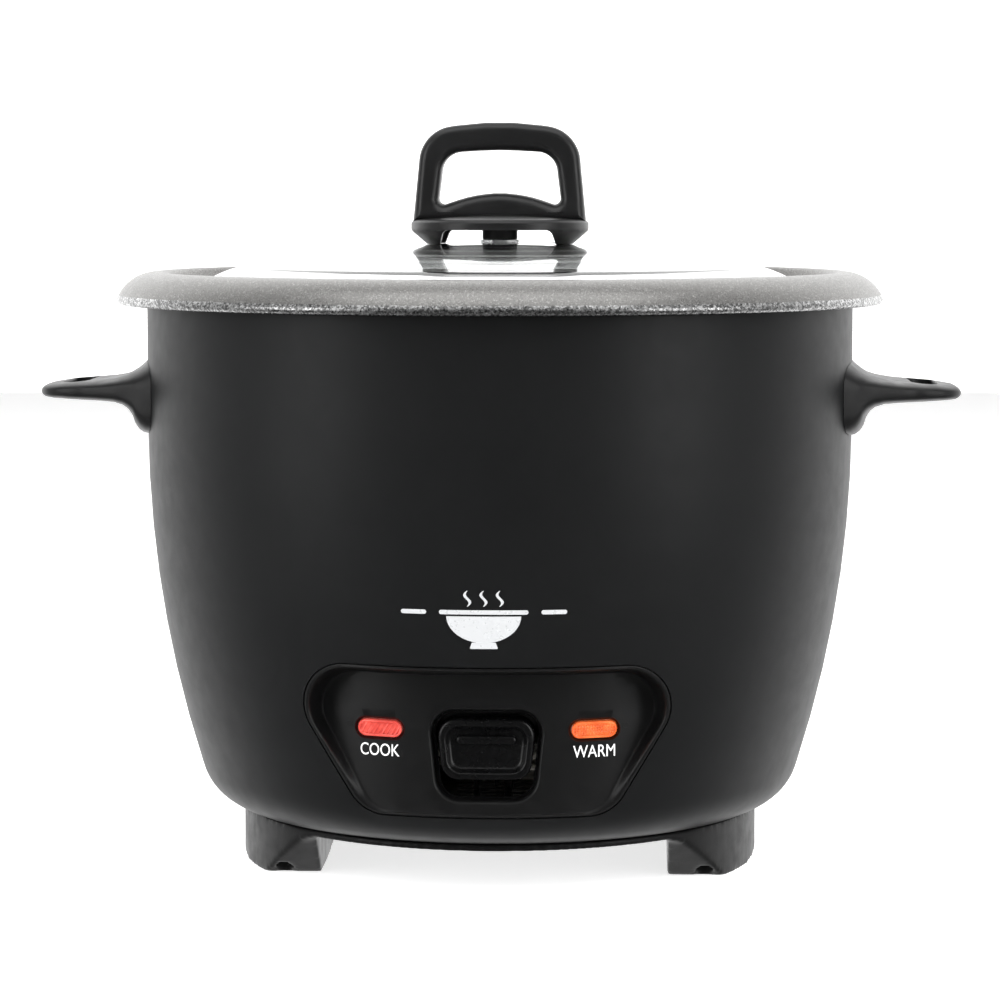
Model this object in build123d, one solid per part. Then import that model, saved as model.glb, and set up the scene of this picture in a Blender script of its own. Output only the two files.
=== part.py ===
from build123d import *
import os
from math import atan2, cos, degrees, hypot, radians, sin, sqrt, tan

# Drum rice cooker with a lift-out pot, a glass lid and one lever key.
# Millimetres. +Z is up, the floor is z = 0, the axis of the drum is the Z axis and the front is -Y.

# ---------------------------------------------------------------- clearances
SEAT_GAP = 0.3           # between bodies that rest on each other and come apart
FIT_GAP = 0.1            # between fixed pieces that fit into each other
RUNNING_GAP = 0.05       # radial, of a pin in the hole it turns in
SLIDE_GAP = 0.4          # radial, of a loose slide in its guide
PIN_GAP = 0.01           # radial, of the pivot pin in its bracket

# ---------------------------------------------------------------- base and feet
FOOT_HEIGHT = 17.5
BASE_INSET = 10.7        # base's edge inside the foot of the shell's leaning wall
BASE_PLATE = 2.5
BASE_RING_HEIGHT = 3.0   # locating ring that stands inside the shell's bottom hole
BASE_RING_WALL = 3.0
FOOT_REACH_FLOOR = 47.7  # half the length of a foot along Y, on the floor
FOOT_REACH_TOP = 68.5    # the same where the scooped end meets the base
FOOT_DEPTH = 33.0        # radial depth of a foot at its middle
FOOT_WALL = 2.5
FOOT_ARCH_HALF = 22.0    # half length of the relief between a foot's two pads
FOOT_ARCH_RISE = 2.0
FOOT_SCOOP_RADIUS = 14.0
BASE_SCREW_TURN = 33.0   # degrees from the side, in the feet's ends
BASE_SCREW_HEAD = 3.0
BASE_SCREW_MARGIN = 0.5  # of a screw's side from the locating ring
BASE_SCREW_DEPTH = 2.0   # screw's tip above the shell's floor sheet
VENT_SLOT_LENGTH = 34.0
VENT_SLOT_WIDTH = 3.0
VENT_SLOT_PITCH = 9.0
VENT_SLOT_ROWS = 2       # slots on each side of the middle one
VENT_SLOT_Y = 5.0

# ---------------------------------------------------------------- outer shell
SHELL_RADIUS = 130.0
SHELL_HEIGHT = 186.0
SHELL_WALL = 1.0
SHELL_LEAN = 17.3        # degrees that the lower wall leans in
SHELL_KNEE = 76.5        # height at which the straight wall and the leaning wall would meet
SHELL_SWEEP_RADIUS = 415.0
SHELL_CORNER_RADIUS = 20.0
SHELL_MOUTH_FLANGE = 5.0
SHELL_MOUTH_CORNER = 2.0
SHELL_FLOOR_RIM = 7.5    # shell's floor inside the base's edge

# ---------------------------------------------------------------- inner pot
POT_AIR_GAP = 13.0       # between the pot's wall and the shell's outside
POT_WALL = 1.6
POT_CORNER_RADIUS = 28.0
LEDGE_WIDTH = 6.1        # flat step that the lid sits on
LEDGE_DROP = 11.0        # step below the rim's crest
RIM_CREST_RISE = 10.5    # crest above the shell's top edge
RIM_RISER_RUN = 2.9
RIM_OVERHANG = 11.6      # lip's corner beyond the shell's wall
RIM_LIP_DROP = 10.8      # lip's corner below the crest
RIM_TURN = 65.0          # degrees that the rim turns down
RIM_RADIUS = 15.7
RIM_CURL_RADIUS = 1.7
RIM_CURL_LENGTH = 1.9

# ---------------------------------------------------------------- glass lid
LID_THICKNESS = 3.5
LID_EDGE_MARGIN = 2.5    # lid's edge short of the pot's riser
LID_DOME_RISE = 18.0     # crown above the edge
LID_BEND_RADIUS = 35.0
LID_SHOULDER_INSET = 0.4
LID_DOME_SHARE = 0.98    # of the run from the middle to the dome's corner
LID_BEND_INSET = 19.7    # bend, in from the edge
LID_BEND_RISE = 8.5      # bend, up from the edge
KNOB_SCREW_RADIUS = 2.0
VENT_RADIUS = 3.5
VENT_PLACE = (20.0, 45.0)

# ---------------------------------------------------------------- lid knob
KNOB_RADIUS = 32.8
KNOB_FOOT_INSET = 5.8    # foot inside the ring's side
KNOB_FOOT_WALL = 2.0
KNOB_RING_Z = 4.0        # ring's lower edge above the lid's crown
KNOB_RING_HEIGHT = 4.4
KNOB_CROWN_RISE = 2.4    # crown of the ring's top face
KNOB_SKIN = 2.6
KNOB_BOSS_RADIUS = 5.5
KNOB_WASHER_THICKNESS = 1.0
KNOB_WASHER_RADIUS = 7.0
ARCH_HEIGHT = 43.7       # top of the arch above the lid's crown
ARCH_INSET = 0.4         # arch's foot inside the ring's side
ARCH_TAPER = 5.9         # of each side, up to its top
ARCH_CORNER_RADIUS = 12.0
ARCH_BAR = 10.8          # height of the bar over the finger gap
ARCH_LEG_TOP = 5.4
ARCH_LEG_FOOT = 8.6
ARCH_DEPTH = 14.0
ARCH_GAP_CORNER = 6.0
ARCH_WEB_END = 13.1      # web's top at the legs, above the lid's crown
ARCH_WEB_CROWN = 17.7    # web's top in the middle
KNOB_WINDOW_INSET = 5.5  # window's end inside the foot's side
ARCH_EDGE = 1.6

# ---------------------------------------------------------------- side handles
HANDLE_LENGTH = 39.5     # tip beyond the shell
HANDLE_DROP = 33.2       # middle of the arm below the shell's top
HANDLE_TIP_THICKNESS = 4.4
HANDLE_ROOT_TOP = 4.1    # arm's top above HANDLE_ARM_Z at its root
HANDLE_ROOT_BOTTOM = 4.3
HANDLE_PLATE_UP = 10.8
HANDLE_PLATE_DOWN = 15.6
HANDLE_PLATE_HALF = 35.0
HANDLE_PLATE_THICKNESS = 3.6
HANDLE_ROOT_HALF = 31.0
HANDLE_TIP_HALF = 25.0
HANDLE_TIP_CORNER = 16.0
HANDLE_UPPER_RADIUS = 14.0
HANDLE_LOWER_RADIUS = 5.5
HANDLE_SLOT_LENGTH = 34.0
HANDLE_SLOT_WIDTH = 9.0
HANDLE_SLOT_INSET = 13.5
HANDLE_SCREW_SPREAD = 22.0
HANDLE_SCREW_LENGTH = 15.0
SCREW_RADIUS = 2.0
SCREW_HEAD_RADIUS = 3.8
SCREW_HEAD_HEIGHT = 2.4

# ---------------------------------------------------------------- control panel
PANEL_HEIGHT = 54.2
PANEL_DROP = 16.2        # bottom edge below the lever's pivot
PANEL_HALF_TOP = 75.0    # before its corners are rounded
PANEL_HALF_BOTTOM = 43.0
PANEL_TOP_RADIUS = 15.5
PANEL_BOTTOM_RADIUS = 14.0
PANEL_RECESS = 20.5      # face's cylinder inside the shell's
PANEL_WALL = 2.0
PANEL_BEZEL_TOP = 4.8
PANEL_BEZEL_SIDE = 5.0
PANEL_BEZEL_BOTTOM = 1.6
PANEL_FLANGE = 2.5       # behind the shell, all round the hole
LENS_SPREAD = 36.9
LENS_DROP = 24.0         # below the panel's top edge
LENS_LENGTH = 15.6
LENS_HEIGHT = 5.8
LENS_PROUD = 0.6
LENS_FLANGE = 1.0
LAMP_RADIUS = 2.8
LAMP_LENGTH = 13.0
LAMP_INSET = 6.2         # lamp's axis behind the lens flange
LAMP_HOLDER_WALL = 1.4
LAMP_HOLDER_GAP = 0.7    # behind the lens flange

# ---------------------------------------------------------------- lever key
KEY_TRAVEL = 6.0
KEY_DROP = 19.9          # top edge below the panel's
KEY_BELOW_PIVOT = 2.8
KEY_HALF_TOP = 17.2
KEY_HALF_BOTTOM = 15.0
KEY_CORNER = 6.0
KEY_BORDER = 2.5
KEY_SCOOP = 2.6
KEY_DEPTH = 10.0
KEY_RIDGE_LENGTH = 21.0
KEY_RIDGE_HEIGHT = 3.3
KEY_RIDGE_DROP = 7.3     # below the key's top edge
KEY_RIDGE_PROUD = 0.6    # short of the key's face
WELL_GAP_SIDE = 2.2
WELL_GAP_TOP = 3.0
WELL_GAP_UNDER = 1.3     # below the key when it is pressed
WELL_DEPTH = 9.0
WELL_WALL = 1.6
PIVOT_Y = -55.0
PIVOT_DROP = 10.0        # pivot below the pan
PIVOT_RADIUS = 1.5
LEVER_WIDTH = 10.0
LEVER_THICKNESS = 2.5
LEVER_BOSS_RADIUS = 3.6
LEVER_TAIL = 8.0         # past the plunger's axis
LEVER_TIP_WALL = 3.0     # key's wall before the lever's tip
FORK_GAP = 0.7
BRACKET_THICKNESS = 1.5
BRACKET_EAR_WIDTH = 10.0
BRACKET_EAR_TOP = 5.0    # above the pivot

# ---------------------------------------------------------------- heater
HEATER_THICKNESS = 12.0
HEATER_EDGE = 3.0        # plate's edge inside the pot's flat floor
CUP_GAP = 0.6            # radial, of the sensor cup in the plate
HEATER_BEVEL = 2.0
ELEMENT_INSET = 28.0     # ring's middle inside the plate's edge
ELEMENT_RADIUS = 4.0
ELEMENT_LEG_SPREAD = 14.0    # half the distance between its two cold ends
ELEMENT_LEG_LENGTH = 17.0
ELEMENT_STUD_LENGTH = 6.0
HEATER_BOSS_INSET = 10.0 # bosses' axes inside the plate's edge
HEATER_BOSS_RADIUS = 5.0
HEATER_BOSS_COUNT = 3
PAN_HEIGHT = 38.0        # underside of the pan above the base
PAN_DROP = 12.0          # the same below the heater plate
PAN_WALL = 1.0
PAN_MARGIN = 6.0         # pan's wall outside the heater plate
PAN_POT_GAP = 3.0
PAN_CORNER_RADIUS = 4.0

# ---------------------------------------------------------------- thermostat
CUP_RADIUS = 18.4
CUP_WALL = 1.2
CUP_HEIGHT = 12.0
SLEEVE_INSET = 1.7       # sleeve inside the cup's inner wall
SLEEVE_WALL = 1.4
SLEEVE_HEIGHT = 14.6
SLEEVE_LIP = 1.2
SLEEVE_FLANGE = 8.5
FERRITE_INSET = 4.5      # inside the sleeve's outside
MAGNET_INSET = 5.5
MAGNET_THICKNESS = 5.5
ROD_RADIUS = 2.5
ROD_END = 6.0            # rod's end below the pivot
COLLAR_RADIUS = 4.5
COLLAR_THICKNESS = 2.0
SEAT_THICKNESS = 1.5
PLUNGER_LIFT = 6.4
SPRING_WIRE = 1.1
CUP_SPRING_TURNS = 4
PLUNGER_SPRING_TURNS = 3

# ---------------------------------------------------------------- electrics
MICROSWITCH_SIZE = (6.4, 20.0, 10.0)
MICROSWITCH_Y = -27.0
BUTTON_SIZE = (2.4, 3.6)
BUTTON_STROKE = 1.0
BUTTON_REST = 0.8        # button's top above the switch when it is pressed
BUTTON_WELL = 3.0
BLADE_THICKNESS = 0.6
BLADE_WIDTH = 3.2
BLADE_LENGTH = 5.0
BLADE_PITCH = 7.0
WARM_STAT_RADIUS = 8.0
WARM_STAT_HEIGHT = 7.0
WARM_STAT_PLACE = (46.0, 26.0)
FUSE_RADIUS = 2.2
FUSE_LENGTH = 14.0
FUSE_PLACE = (-46.0, 24.0)
FUSE_CLIP_WIDTH = 5.0
FUSE_CLIP_WALL = 0.8
FUSE_CLIP_TAB = 6.0
FUSE_LEAD = 6.0
FUSE_LEAD_RADIUS = 0.6
TERMINAL_SIZE = (36.0, 18.0, 14.0)
TERMINAL_INSET = 53.5    # block's middle inside the base's edge
TERMINAL_PORTS = (-11.0, 0.0, 11.0)
WIRE_RADIUS = 1.3
WIRE_BEND = 7.0
INLET_MOUTH = (24.0, 16.0)
INLET_WALL = 2.0
INLET_DEPTH = 22.0
INLET_FLANGE = (54.0, 27.0)
INLET_FLANGE_THICKNESS = 2.4
INLET_FLANGE_CORNER = 4.0
INLET_SCREW_SPREAD = 20.0
INLET_SCREW_HEAD = 3.2
INLET_PIN = (4.0, 2.0)
INLET_PIN_SPREAD = 7.0
INLET_PIN_SETBACK = 7.0
INLET_PIN_TAIL = 8.0     # behind the socket
INLET_PIN_STAGGER = 2.0
INLET_SCREW_GRIP = 8.0   # screw's length behind the flange

# ---------------------------------------------------------------- worked out from the sizes above
SHELL_FLOOR_Z = FOOT_HEIGHT + BASE_PLATE
SHELL_TOP_Z = SHELL_FLOOR_Z + SHELL_HEIGHT
SHELL_KNEE_Z = SHELL_FLOOR_Z + SHELL_KNEE
SHELL_FOOT_RADIUS = SHELL_RADIUS - SHELL_KNEE * tan(radians(SHELL_LEAN))
BASE_TOP_Z = SHELL_FLOOR_Z
BASE_RADIUS = SHELL_FOOT_RADIUS - BASE_INSET
SHELL_FLOOR_HOLE = BASE_RADIUS - SHELL_FLOOR_RIM
PAN_Z = BASE_TOP_Z + PAN_HEIGHT
HEATER_TOP_Z = PAN_Z + PAN_DROP + HEATER_THICKNESS
POT_RADIUS = SHELL_RADIUS - POT_AIR_GAP
POT_FLAT_RADIUS = POT_RADIUS - POT_CORNER_RADIUS
HEATER_RADIUS = POT_FLAT_RADIUS - HEATER_EDGE
HEATER_HOLE = CUP_RADIUS + CUP_GAP
ELEMENT_RING = HEATER_RADIUS - ELEMENT_INSET
HEATER_BOSS_RING = HEATER_RADIUS - HEATER_BOSS_INSET
PAN_RADIUS = HEATER_RADIUS + PAN_MARGIN
POT_BOTTOM_Z = HEATER_TOP_Z + SEAT_GAP
CREST_Z = SHELL_TOP_Z + RIM_CREST_RISE
LEDGE_Z = CREST_Z - LEDGE_DROP
LEDGE_EDGE = POT_RADIUS - POT_WALL + LEDGE_WIDTH
LID_RADIUS = LEDGE_EDGE - LID_EDGE_MARGIN
LID_FLANK = atan2(LID_BEND_RISE, LID_BEND_INSET)
LID_EDGE_Z = LEDGE_Z + SEAT_GAP + LID_THICKNESS * cos(LID_FLANK)
LID_CROWN_Z = LID_EDGE_Z + LID_DOME_RISE
PAN_TOP_Z = PAN_Z + PAN_WALL
PIVOT_Z = PAN_Z - PIVOT_DROP
PANEL_BOTTOM_Z = PIVOT_Z - PANEL_DROP
PANEL_TOP_Z = PANEL_BOTTOM_Z + PANEL_HEIGHT
PANEL_FACE_RADIUS = SHELL_RADIUS - PANEL_RECESS
PANEL_START = PANEL_FACE_RADIUS / 2      # where the prisms that cut the panel begin
LENS_Z = PANEL_TOP_Z - LENS_DROP
KEY_TOP_Z = PANEL_TOP_Z - KEY_DROP
KEY_BOTTOM_Z = PIVOT_Z - KEY_BELOW_PIVOT
WELL_GAP_BOTTOM = KEY_TRAVEL + WELL_GAP_UNDER
KEY_FACE_CORNER = min(KEY_CORNER, 0.35 * (KEY_TOP_Z - KEY_BOTTOM_Z))
KEY_RIDGE_Z = KEY_TOP_Z - KEY_RIDGE_DROP
SLEEVE_RADIUS = CUP_RADIUS - CUP_WALL - SLEEVE_INSET
FERRITE_RADIUS = SLEEVE_RADIUS - FERRITE_INSET
MAGNET_RADIUS = SLEEVE_RADIUS - MAGNET_INSET
LEVER_TOP_Z = PIVOT_Z + LEVER_THICKNESS / 2
COLLAR_Z = LEVER_TOP_Z + SEAT_GAP
SEAT_Z = PAN_TOP_Z + SLEEVE_LIP + SEAT_GAP
MAGNET_Z = SEAT_Z + SEAT_THICKNESS
FERRITE_Z = MAGNET_Z + MAGNET_THICKNESS + PLUNGER_LIFT + SEAT_GAP
CUP_TOP_Z = HEATER_TOP_Z
HANDLE_INNER = SHELL_RADIUS + FIT_GAP
HANDLE_REACH = SHELL_RADIUS + HANDLE_LENGTH
HANDLE_ARM_Z = SHELL_TOP_Z - HANDLE_DROP
KNOB_FOOT_RADIUS = KNOB_RADIUS - KNOB_FOOT_INSET
KNOB_WINDOW_HALF = KNOB_FOOT_RADIUS - KNOB_WINDOW_INSET
ARCH_HALF_FOOT = KNOB_RADIUS - ARCH_INSET
ARCH_HALF_TOP = ARCH_HALF_FOOT - ARCH_TAPER
INLET_Z = PAN_Z - INLET_MOUTH[1] / 2 - INLET_WALL
TERMINAL_Y = BASE_RADIUS - TERMINAL_INSET


# ================================================================ helpers
def outline(points, radii):
    """Closed outline through (r, z) points with a rounding at each, in the XZ plane."""
    return FilletPolyline(*[(r, 0, z) for r, z in points], radius=radii, close=True)


def turned(points, radii=None):
    """Solid of revolution of a closed (r, z) outline."""
    if radii is None:
        radii = [0] * len(points)
    return revolve(make_face(outline(points, radii)), Axis.Z)


def parallel(points, radii, distance):
    """The same path moved to its right by a distance, with its corner radii to suit."""
    steps = [(b[0] - a[0], b[1] - a[1]) for a, b in zip(points, points[1:])]
    normals = [(dz / hypot(dr, dz), -dr / hypot(dr, dz)) for dr, dz in steps]
    moved = [(points[0][0] + normals[0][0] * distance, points[0][1] + normals[0][1] * distance)]
    new_radii = []
    for corner, before, after, radius in zip(points[1:-1], normals, normals[1:], radii):
        share = distance / (1 + before[0] * after[0] + before[1] * after[1])
        across, up = before[0] + after[0], before[1] + after[1]
        moved.append((corner[0] + across * share, corner[1] + up * share))
        turns_right = before[0] * after[1] - before[1] * after[0] < 0
        new_radii.append(radius - distance if turns_right else radius + distance)
    end = normals[-1]
    moved.append((points[-1][0] + end[0] * distance, points[-1][1] + end[1] * distance))
    return moved, new_radii


def bent_sheet(points, radii, thickness):
    """Sheet turned about Z: the path is one skin, and the metal lies to its right."""
    back, back_radii = parallel(points, radii, thickness)
    corners = points + back[::-1]
    return turned(corners, [0] + radii + [0, 0] + back_radii[::-1] + [0])


def cylinder(radius, low, high, place=(0, 0)):
    """Upright cylinder between two heights."""
    return Pos(place[0], place[1], (low + high) / 2) * Cylinder(radius, high - low)


def cylinder_x(radius, low, high, y, z):
    """Cylinder along X between two places."""
    return Pos((low + high) / 2, y, z) * Rot(0, 90, 0) * Cylinder(radius, high - low)


def cylinder_y(radius, low, high, x, z):
    """Cylinder along Y between two places."""
    return Pos(x, (low + high) / 2, z) * Rot(90, 0, 0) * Cylinder(radius, high - low)


def block(low, high):
    """Box between two corners."""
    size = [b - a for a, b in zip(low, high)]
    middle = [(a + b) / 2 for a, b in zip(low, high)]
    return Pos(*middle) * Box(*size)


def front_prism(points, radii, near, far):
    """Prism of an (x, z) outline between y = -near and y = -far."""
    face = make_face(outline(points, radii))
    return Pos(0, -near, 0) * extrude(face, amount=far - near, dir=(0, -1, 0))


def trapezoid(half_top, half_bottom, top, bottom, middle=0.0):
    """Corners of an upright trapezoid in (x, z)."""
    return [(middle - half_bottom, bottom), (middle - half_top, top),
            (middle + half_top, top), (middle + half_bottom, bottom)]


def inset_trapezoid(half_top, half_bottom, top, bottom, side, over, under):
    """A trapezoid moved in by a distance at its sides, its top and its bottom (negative moves out)."""
    lean = (half_top - half_bottom) / (top - bottom)
    shift = side * sqrt(1 + lean * lean)
    upper, lower = half_top - shift - lean * over, half_bottom - shift + lean * under
    return trapezoid(upper, lower, top - over, bottom + under)


def tube_path(points, bend):
    """Path of straight runs joined by arcs."""
    return FilletPolyline(*points, radius=bend)


def wire(points, radius=WIRE_RADIUS, bend=WIRE_BEND):
    """Round wire along a path of runs and arcs."""
    path = tube_path(points, bend)
    section = Plane(origin=path @ 0, z_dir=path % 0) * Circle(radius)
    return sweep(section, path=path)


def coil_spring(middle_radius, low, high, turns, wire_radius=SPRING_WIRE / 2):
    """Compression spring about Z between two heights."""
    length = high - low - 2 * wire_radius
    path = Pos(0, 0, low + wire_radius) * Helix(pitch=length / turns, height=length, radius=middle_radius)
    section = Plane(origin=path @ 0, z_dir=path % 0) * Circle(wire_radius)
    return sweep(section, path=path, is_frenet=True)


def screw(length, radius=SCREW_RADIUS, head_radius=SCREW_HEAD_RADIUS, head_height=SCREW_HEAD_HEIGHT):
    """Pan-head screw: its head lies below z = 0 and its shank points up."""
    slot = Pos(0, 0, -head_height) * Box(2 * head_radius, 0.8, 1.2)
    return Pos(0, 0, -head_height / 2) * Cylinder(head_radius, head_height) + cylinder(radius, 0, length) - slot


# ================================================================ base
def foot_side(side):
    """Long foot under one side: two pads with a relief between them, and scooped ends."""
    profile = [(-FOOT_REACH_TOP - FOOT_SCOOP_RADIUS, FOOT_HEIGHT), (-FOOT_REACH_TOP, FOOT_HEIGHT),
               (-FOOT_REACH_FLOOR, 0), (-FOOT_ARCH_HALF, 0), (0, FOOT_ARCH_RISE), (FOOT_ARCH_HALF, 0),
               (FOOT_REACH_FLOOR, 0), (FOOT_REACH_TOP, FOOT_HEIGHT),
               (FOOT_REACH_TOP + FOOT_SCOOP_RADIUS, FOOT_HEIGHT), (0, FOOT_HEIGHT + BASE_PLATE / 2)]
    radii = [0, FOOT_SCOOP_RADIUS, 2, 4, FOOT_ARCH_HALF, 4, 2, FOOT_SCOOP_RADIUS, 0, 0]
    edge = FilletPolyline(*[(0, y, z) for y, z in profile], radius=radii, close=True)
    inner = BASE_RADIUS - FOOT_DEPTH
    foot = Pos(inner, 0, 0) * extrude(make_face(edge), amount=FOOT_DEPTH, dir=(1, 0, 0))
    foot &= cylinder(BASE_RADIUS, 0, BASE_TOP_Z)
    return foot if side > 0 else mirror(foot, Plane.YZ)


def foot_hollow(side):
    """Space inside a foot, open at its top."""
    reach = FOOT_REACH_FLOOR - 2 * FOOT_WALL
    low = (BASE_RADIUS - FOOT_DEPTH + FOOT_WALL, -reach, FOOT_ARCH_RISE + FOOT_WALL)
    high = (BASE_RADIUS, reach, BASE_TOP_Z + BASE_RING_HEIGHT + 1)
    hollow = block(low, high) & cylinder(SHELL_FLOOR_HOLE - FIT_GAP - BASE_RING_WALL, 0, high[2])
    return hollow if side > 0 else mirror(hollow, Plane.YZ)


def base_screw_places():
    """Screws up through the feet's ends that hold the base against the shell's floor."""
    ring = SHELL_FLOOR_HOLE + SCREW_RADIUS + BASE_SCREW_MARGIN
    turns = [90 * n + sign * BASE_SCREW_TURN for n in (0, 2) for sign in (-1, 1)]
    return [(ring * cos(radians(a)), ring * sin(radians(a))) for a in turns]


def base():
    ring_radius = SHELL_FLOOR_HOLE - FIT_GAP
    plate = cylinder(BASE_RADIUS, FOOT_HEIGHT, BASE_TOP_Z)
    ring_top = BASE_TOP_Z + BASE_RING_HEIGHT
    plate += cylinder(ring_radius, BASE_TOP_Z, ring_top)
    plate -= cylinder(ring_radius - BASE_RING_WALL, BASE_TOP_Z, ring_top + 1)
    for side in (-1, 1):
        plate += foot_side(side)
    for side in (-1, 1):
        plate -= foot_hollow(side)
    for row in range(-VENT_SLOT_ROWS, VENT_SLOT_ROWS + 1):
        slot = extrude(SlotOverall(VENT_SLOT_LENGTH, VENT_SLOT_WIDTH), amount=BASE_PLATE * 3)
        plate -= Pos(0, VENT_SLOT_Y + row * VENT_SLOT_PITCH, FOOT_HEIGHT - BASE_PLATE) * slot
    for place in base_screw_places():
        plate -= cylinder(SCREW_RADIUS + FIT_GAP, FOOT_HEIGHT - 3, BASE_TOP_Z + 1, place)
        plate -= cylinder(BASE_SCREW_HEAD + FIT_GAP, -1, FOOT_HEIGHT - FIT_GAP, place)
    return plate


def base_screws():
    length = BASE_PLATE + SHELL_WALL + BASE_SCREW_DEPTH
    fastener = screw(length, head_radius=BASE_SCREW_HEAD)
    return [Pos(x, y, FOOT_HEIGHT - FIT_GAP) * fastener for x, y in base_screw_places()]


# ================================================================ outer shell
def shell_skin(clearance=0.0):
    """Outer skin of the shell from its mouth down to its floor, moved out by a clearance."""
    points = [(SHELL_RADIUS - SHELL_MOUTH_FLANGE, SHELL_TOP_Z), (SHELL_RADIUS, SHELL_TOP_Z),
              (SHELL_RADIUS, SHELL_KNEE_Z), (SHELL_FOOT_RADIUS, SHELL_FLOOR_Z),
              (SHELL_FLOOR_HOLE, SHELL_FLOOR_Z)]
    radii = [SHELL_MOUTH_CORNER, SHELL_SWEEP_RADIUS, SHELL_CORNER_RADIUS]
    return parallel(points, radii, -clearance) if clearance else (points, radii)


def shell_filled(clearance=0.0):
    """Everything inside the shell's outer skin, moved out by a clearance."""
    points, radii = shell_skin(clearance)
    return turned([(0, points[0][1])] + points + [(0, points[-1][1])], [0, 0] + radii + [0, 0])


def panel_outline(grow=0.0):
    return inset_trapezoid(PANEL_HALF_TOP, PANEL_HALF_BOTTOM, PANEL_TOP_Z, PANEL_BOTTOM_Z,
                           -grow, -grow, -grow)


def panel_radii(grow=0.0):
    lower, upper = PANEL_BOTTOM_RADIUS + grow, PANEL_TOP_RADIUS + grow
    return [lower, upper, upper, lower]


def handle_screw_places():
    return [(side, y) for side in (-1, 1) for y in (-HANDLE_SCREW_SPREAD, HANDLE_SCREW_SPREAD)]


def inlet_screw_places():
    return [-INLET_SCREW_SPREAD, INLET_SCREW_SPREAD]


def outer_shell():
    points, radii = shell_skin()
    shell = bent_sheet(points, radii, SHELL_WALL)
    shell -= front_prism(panel_outline(FIT_GAP), panel_radii(FIT_GAP), PANEL_START, SHELL_RADIUS + 10)
    for side, y in handle_screw_places():
        ends = sorted((side * (SHELL_RADIUS - 20), side * (SHELL_RADIUS + 20)))
        shell -= cylinder_x(SCREW_RADIUS + FIT_GAP, ends[0], ends[1], y, HANDLE_ARM_Z)
    half_x, half_z = [size / 2 + INLET_WALL + FIT_GAP for size in INLET_MOUTH]
    shell -= block((-half_x, SHELL_FLOOR_HOLE, INLET_Z - half_z), (half_x, SHELL_RADIUS, INLET_Z + half_z))
    for x in inlet_screw_places():
        shell -= cylinder_y(SCREW_RADIUS + FIT_GAP, SHELL_FLOOR_HOLE, SHELL_RADIUS, x, INLET_Z)
    for place in base_screw_places():
        shell -= cylinder(SCREW_RADIUS + FIT_GAP, FOOT_HEIGHT, SHELL_FLOOR_Z + 6, place)
    return shell


# ================================================================ side handles
def right_handle():
    """Moulded ear: a pad that follows the shell, a flared arm and a finger slot."""
    root_top, root_bottom = HANDLE_ARM_Z + HANDLE_ROOT_TOP, HANDLE_ARM_Z - HANDLE_ROOT_BOTTOM
    tip_top, tip_bottom = HANDLE_ARM_Z + HANDLE_TIP_THICKNESS / 2, HANDLE_ARM_Z - HANDLE_TIP_THICKNESS / 2
    plate_top, plate_bottom = HANDLE_ARM_Z + HANDLE_PLATE_UP, HANDLE_ARM_Z - HANDLE_PLATE_DOWN
    outer = HANDLE_INNER + HANDLE_PLATE_THICKNESS
    tip_round = HANDLE_TIP_THICKNESS / 2 - 0.1
    section = [(HANDLE_INNER - 12, plate_top), (HANDLE_INNER + 1.0, plate_top), (HANDLE_INNER + 8, root_top),
               (HANDLE_REACH, tip_top), (HANDLE_REACH, tip_bottom), (outer + 1.5, root_bottom),
               (outer, plate_bottom + 1.8), (HANDLE_INNER + 0.5, plate_bottom),
               (HANDLE_INNER - 12, plate_bottom)]
    radii = [0, 0, HANDLE_UPPER_RADIUS, tip_round, tip_round, HANDLE_LOWER_RADIUS, 1.2, 0, 0]
    side_face = make_face(outline(section, radii))
    arm = Pos(0, HANDLE_PLATE_HALF, 0) * extrude(side_face, amount=2 * HANDLE_PLATE_HALF, dir=(0, -1, 0))
    plan = FilletPolyline((HANDLE_INNER - 20, -HANDLE_ROOT_HALF), (outer, -HANDLE_ROOT_HALF),
                          (HANDLE_REACH, -HANDLE_TIP_HALF), (HANDLE_REACH, HANDLE_TIP_HALF),
                          (outer, HANDLE_ROOT_HALF), (HANDLE_INNER - 20, HANDLE_ROOT_HALF),
                          radius=[0, 8, HANDLE_TIP_CORNER, HANDLE_TIP_CORNER, 8, 0], close=True)
    arm &= Pos(0, 0, plate_bottom - 1) * extrude(make_face(plan), amount=plate_top - plate_bottom + 2)
    pad = block((0, -HANDLE_PLATE_HALF, plate_bottom), (outer + 1, HANDLE_PLATE_HALF, plate_top))
    pad &= cylinder(outer, plate_bottom, plate_top)
    handle = pad + arm - shell_filled(FIT_GAP)
    slot = Rot(0, 0, 90) * extrude(SlotOverall(HANDLE_SLOT_LENGTH, HANDLE_SLOT_WIDTH), amount=40)
    handle -= Pos(HANDLE_REACH - HANDLE_SLOT_INSET, 0, HANDLE_ARM_Z - 20) * slot
    for y in (-HANDLE_SCREW_SPREAD, HANDLE_SCREW_SPREAD):
        reach = handle_screw_start() + HANDLE_SCREW_LENGTH + 1
        handle -= cylinder_x(SCREW_RADIUS + FIT_GAP, 0, reach, y, HANDLE_ARM_Z)
    return handle


def handle_screw_start():
    """Where a handle screw's head meets the inside of the shell."""
    inside = shell_inner_radius(HANDLE_ARM_Z - SCREW_HEAD_RADIUS)
    return sqrt(inside ** 2 - (HANDLE_SCREW_SPREAD + SCREW_HEAD_RADIUS) ** 2) - FIT_GAP


def handle_screws():
    start = handle_screw_start()
    screws = []
    for side, y in handle_screw_places():
        turn = Rot(0, 90, 0) if side > 0 else Rot(0, -90, 0)
        screws.append(Pos(side * start, y, HANDLE_ARM_Z) * turn * screw(HANDLE_SCREW_LENGTH))
    return screws


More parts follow.
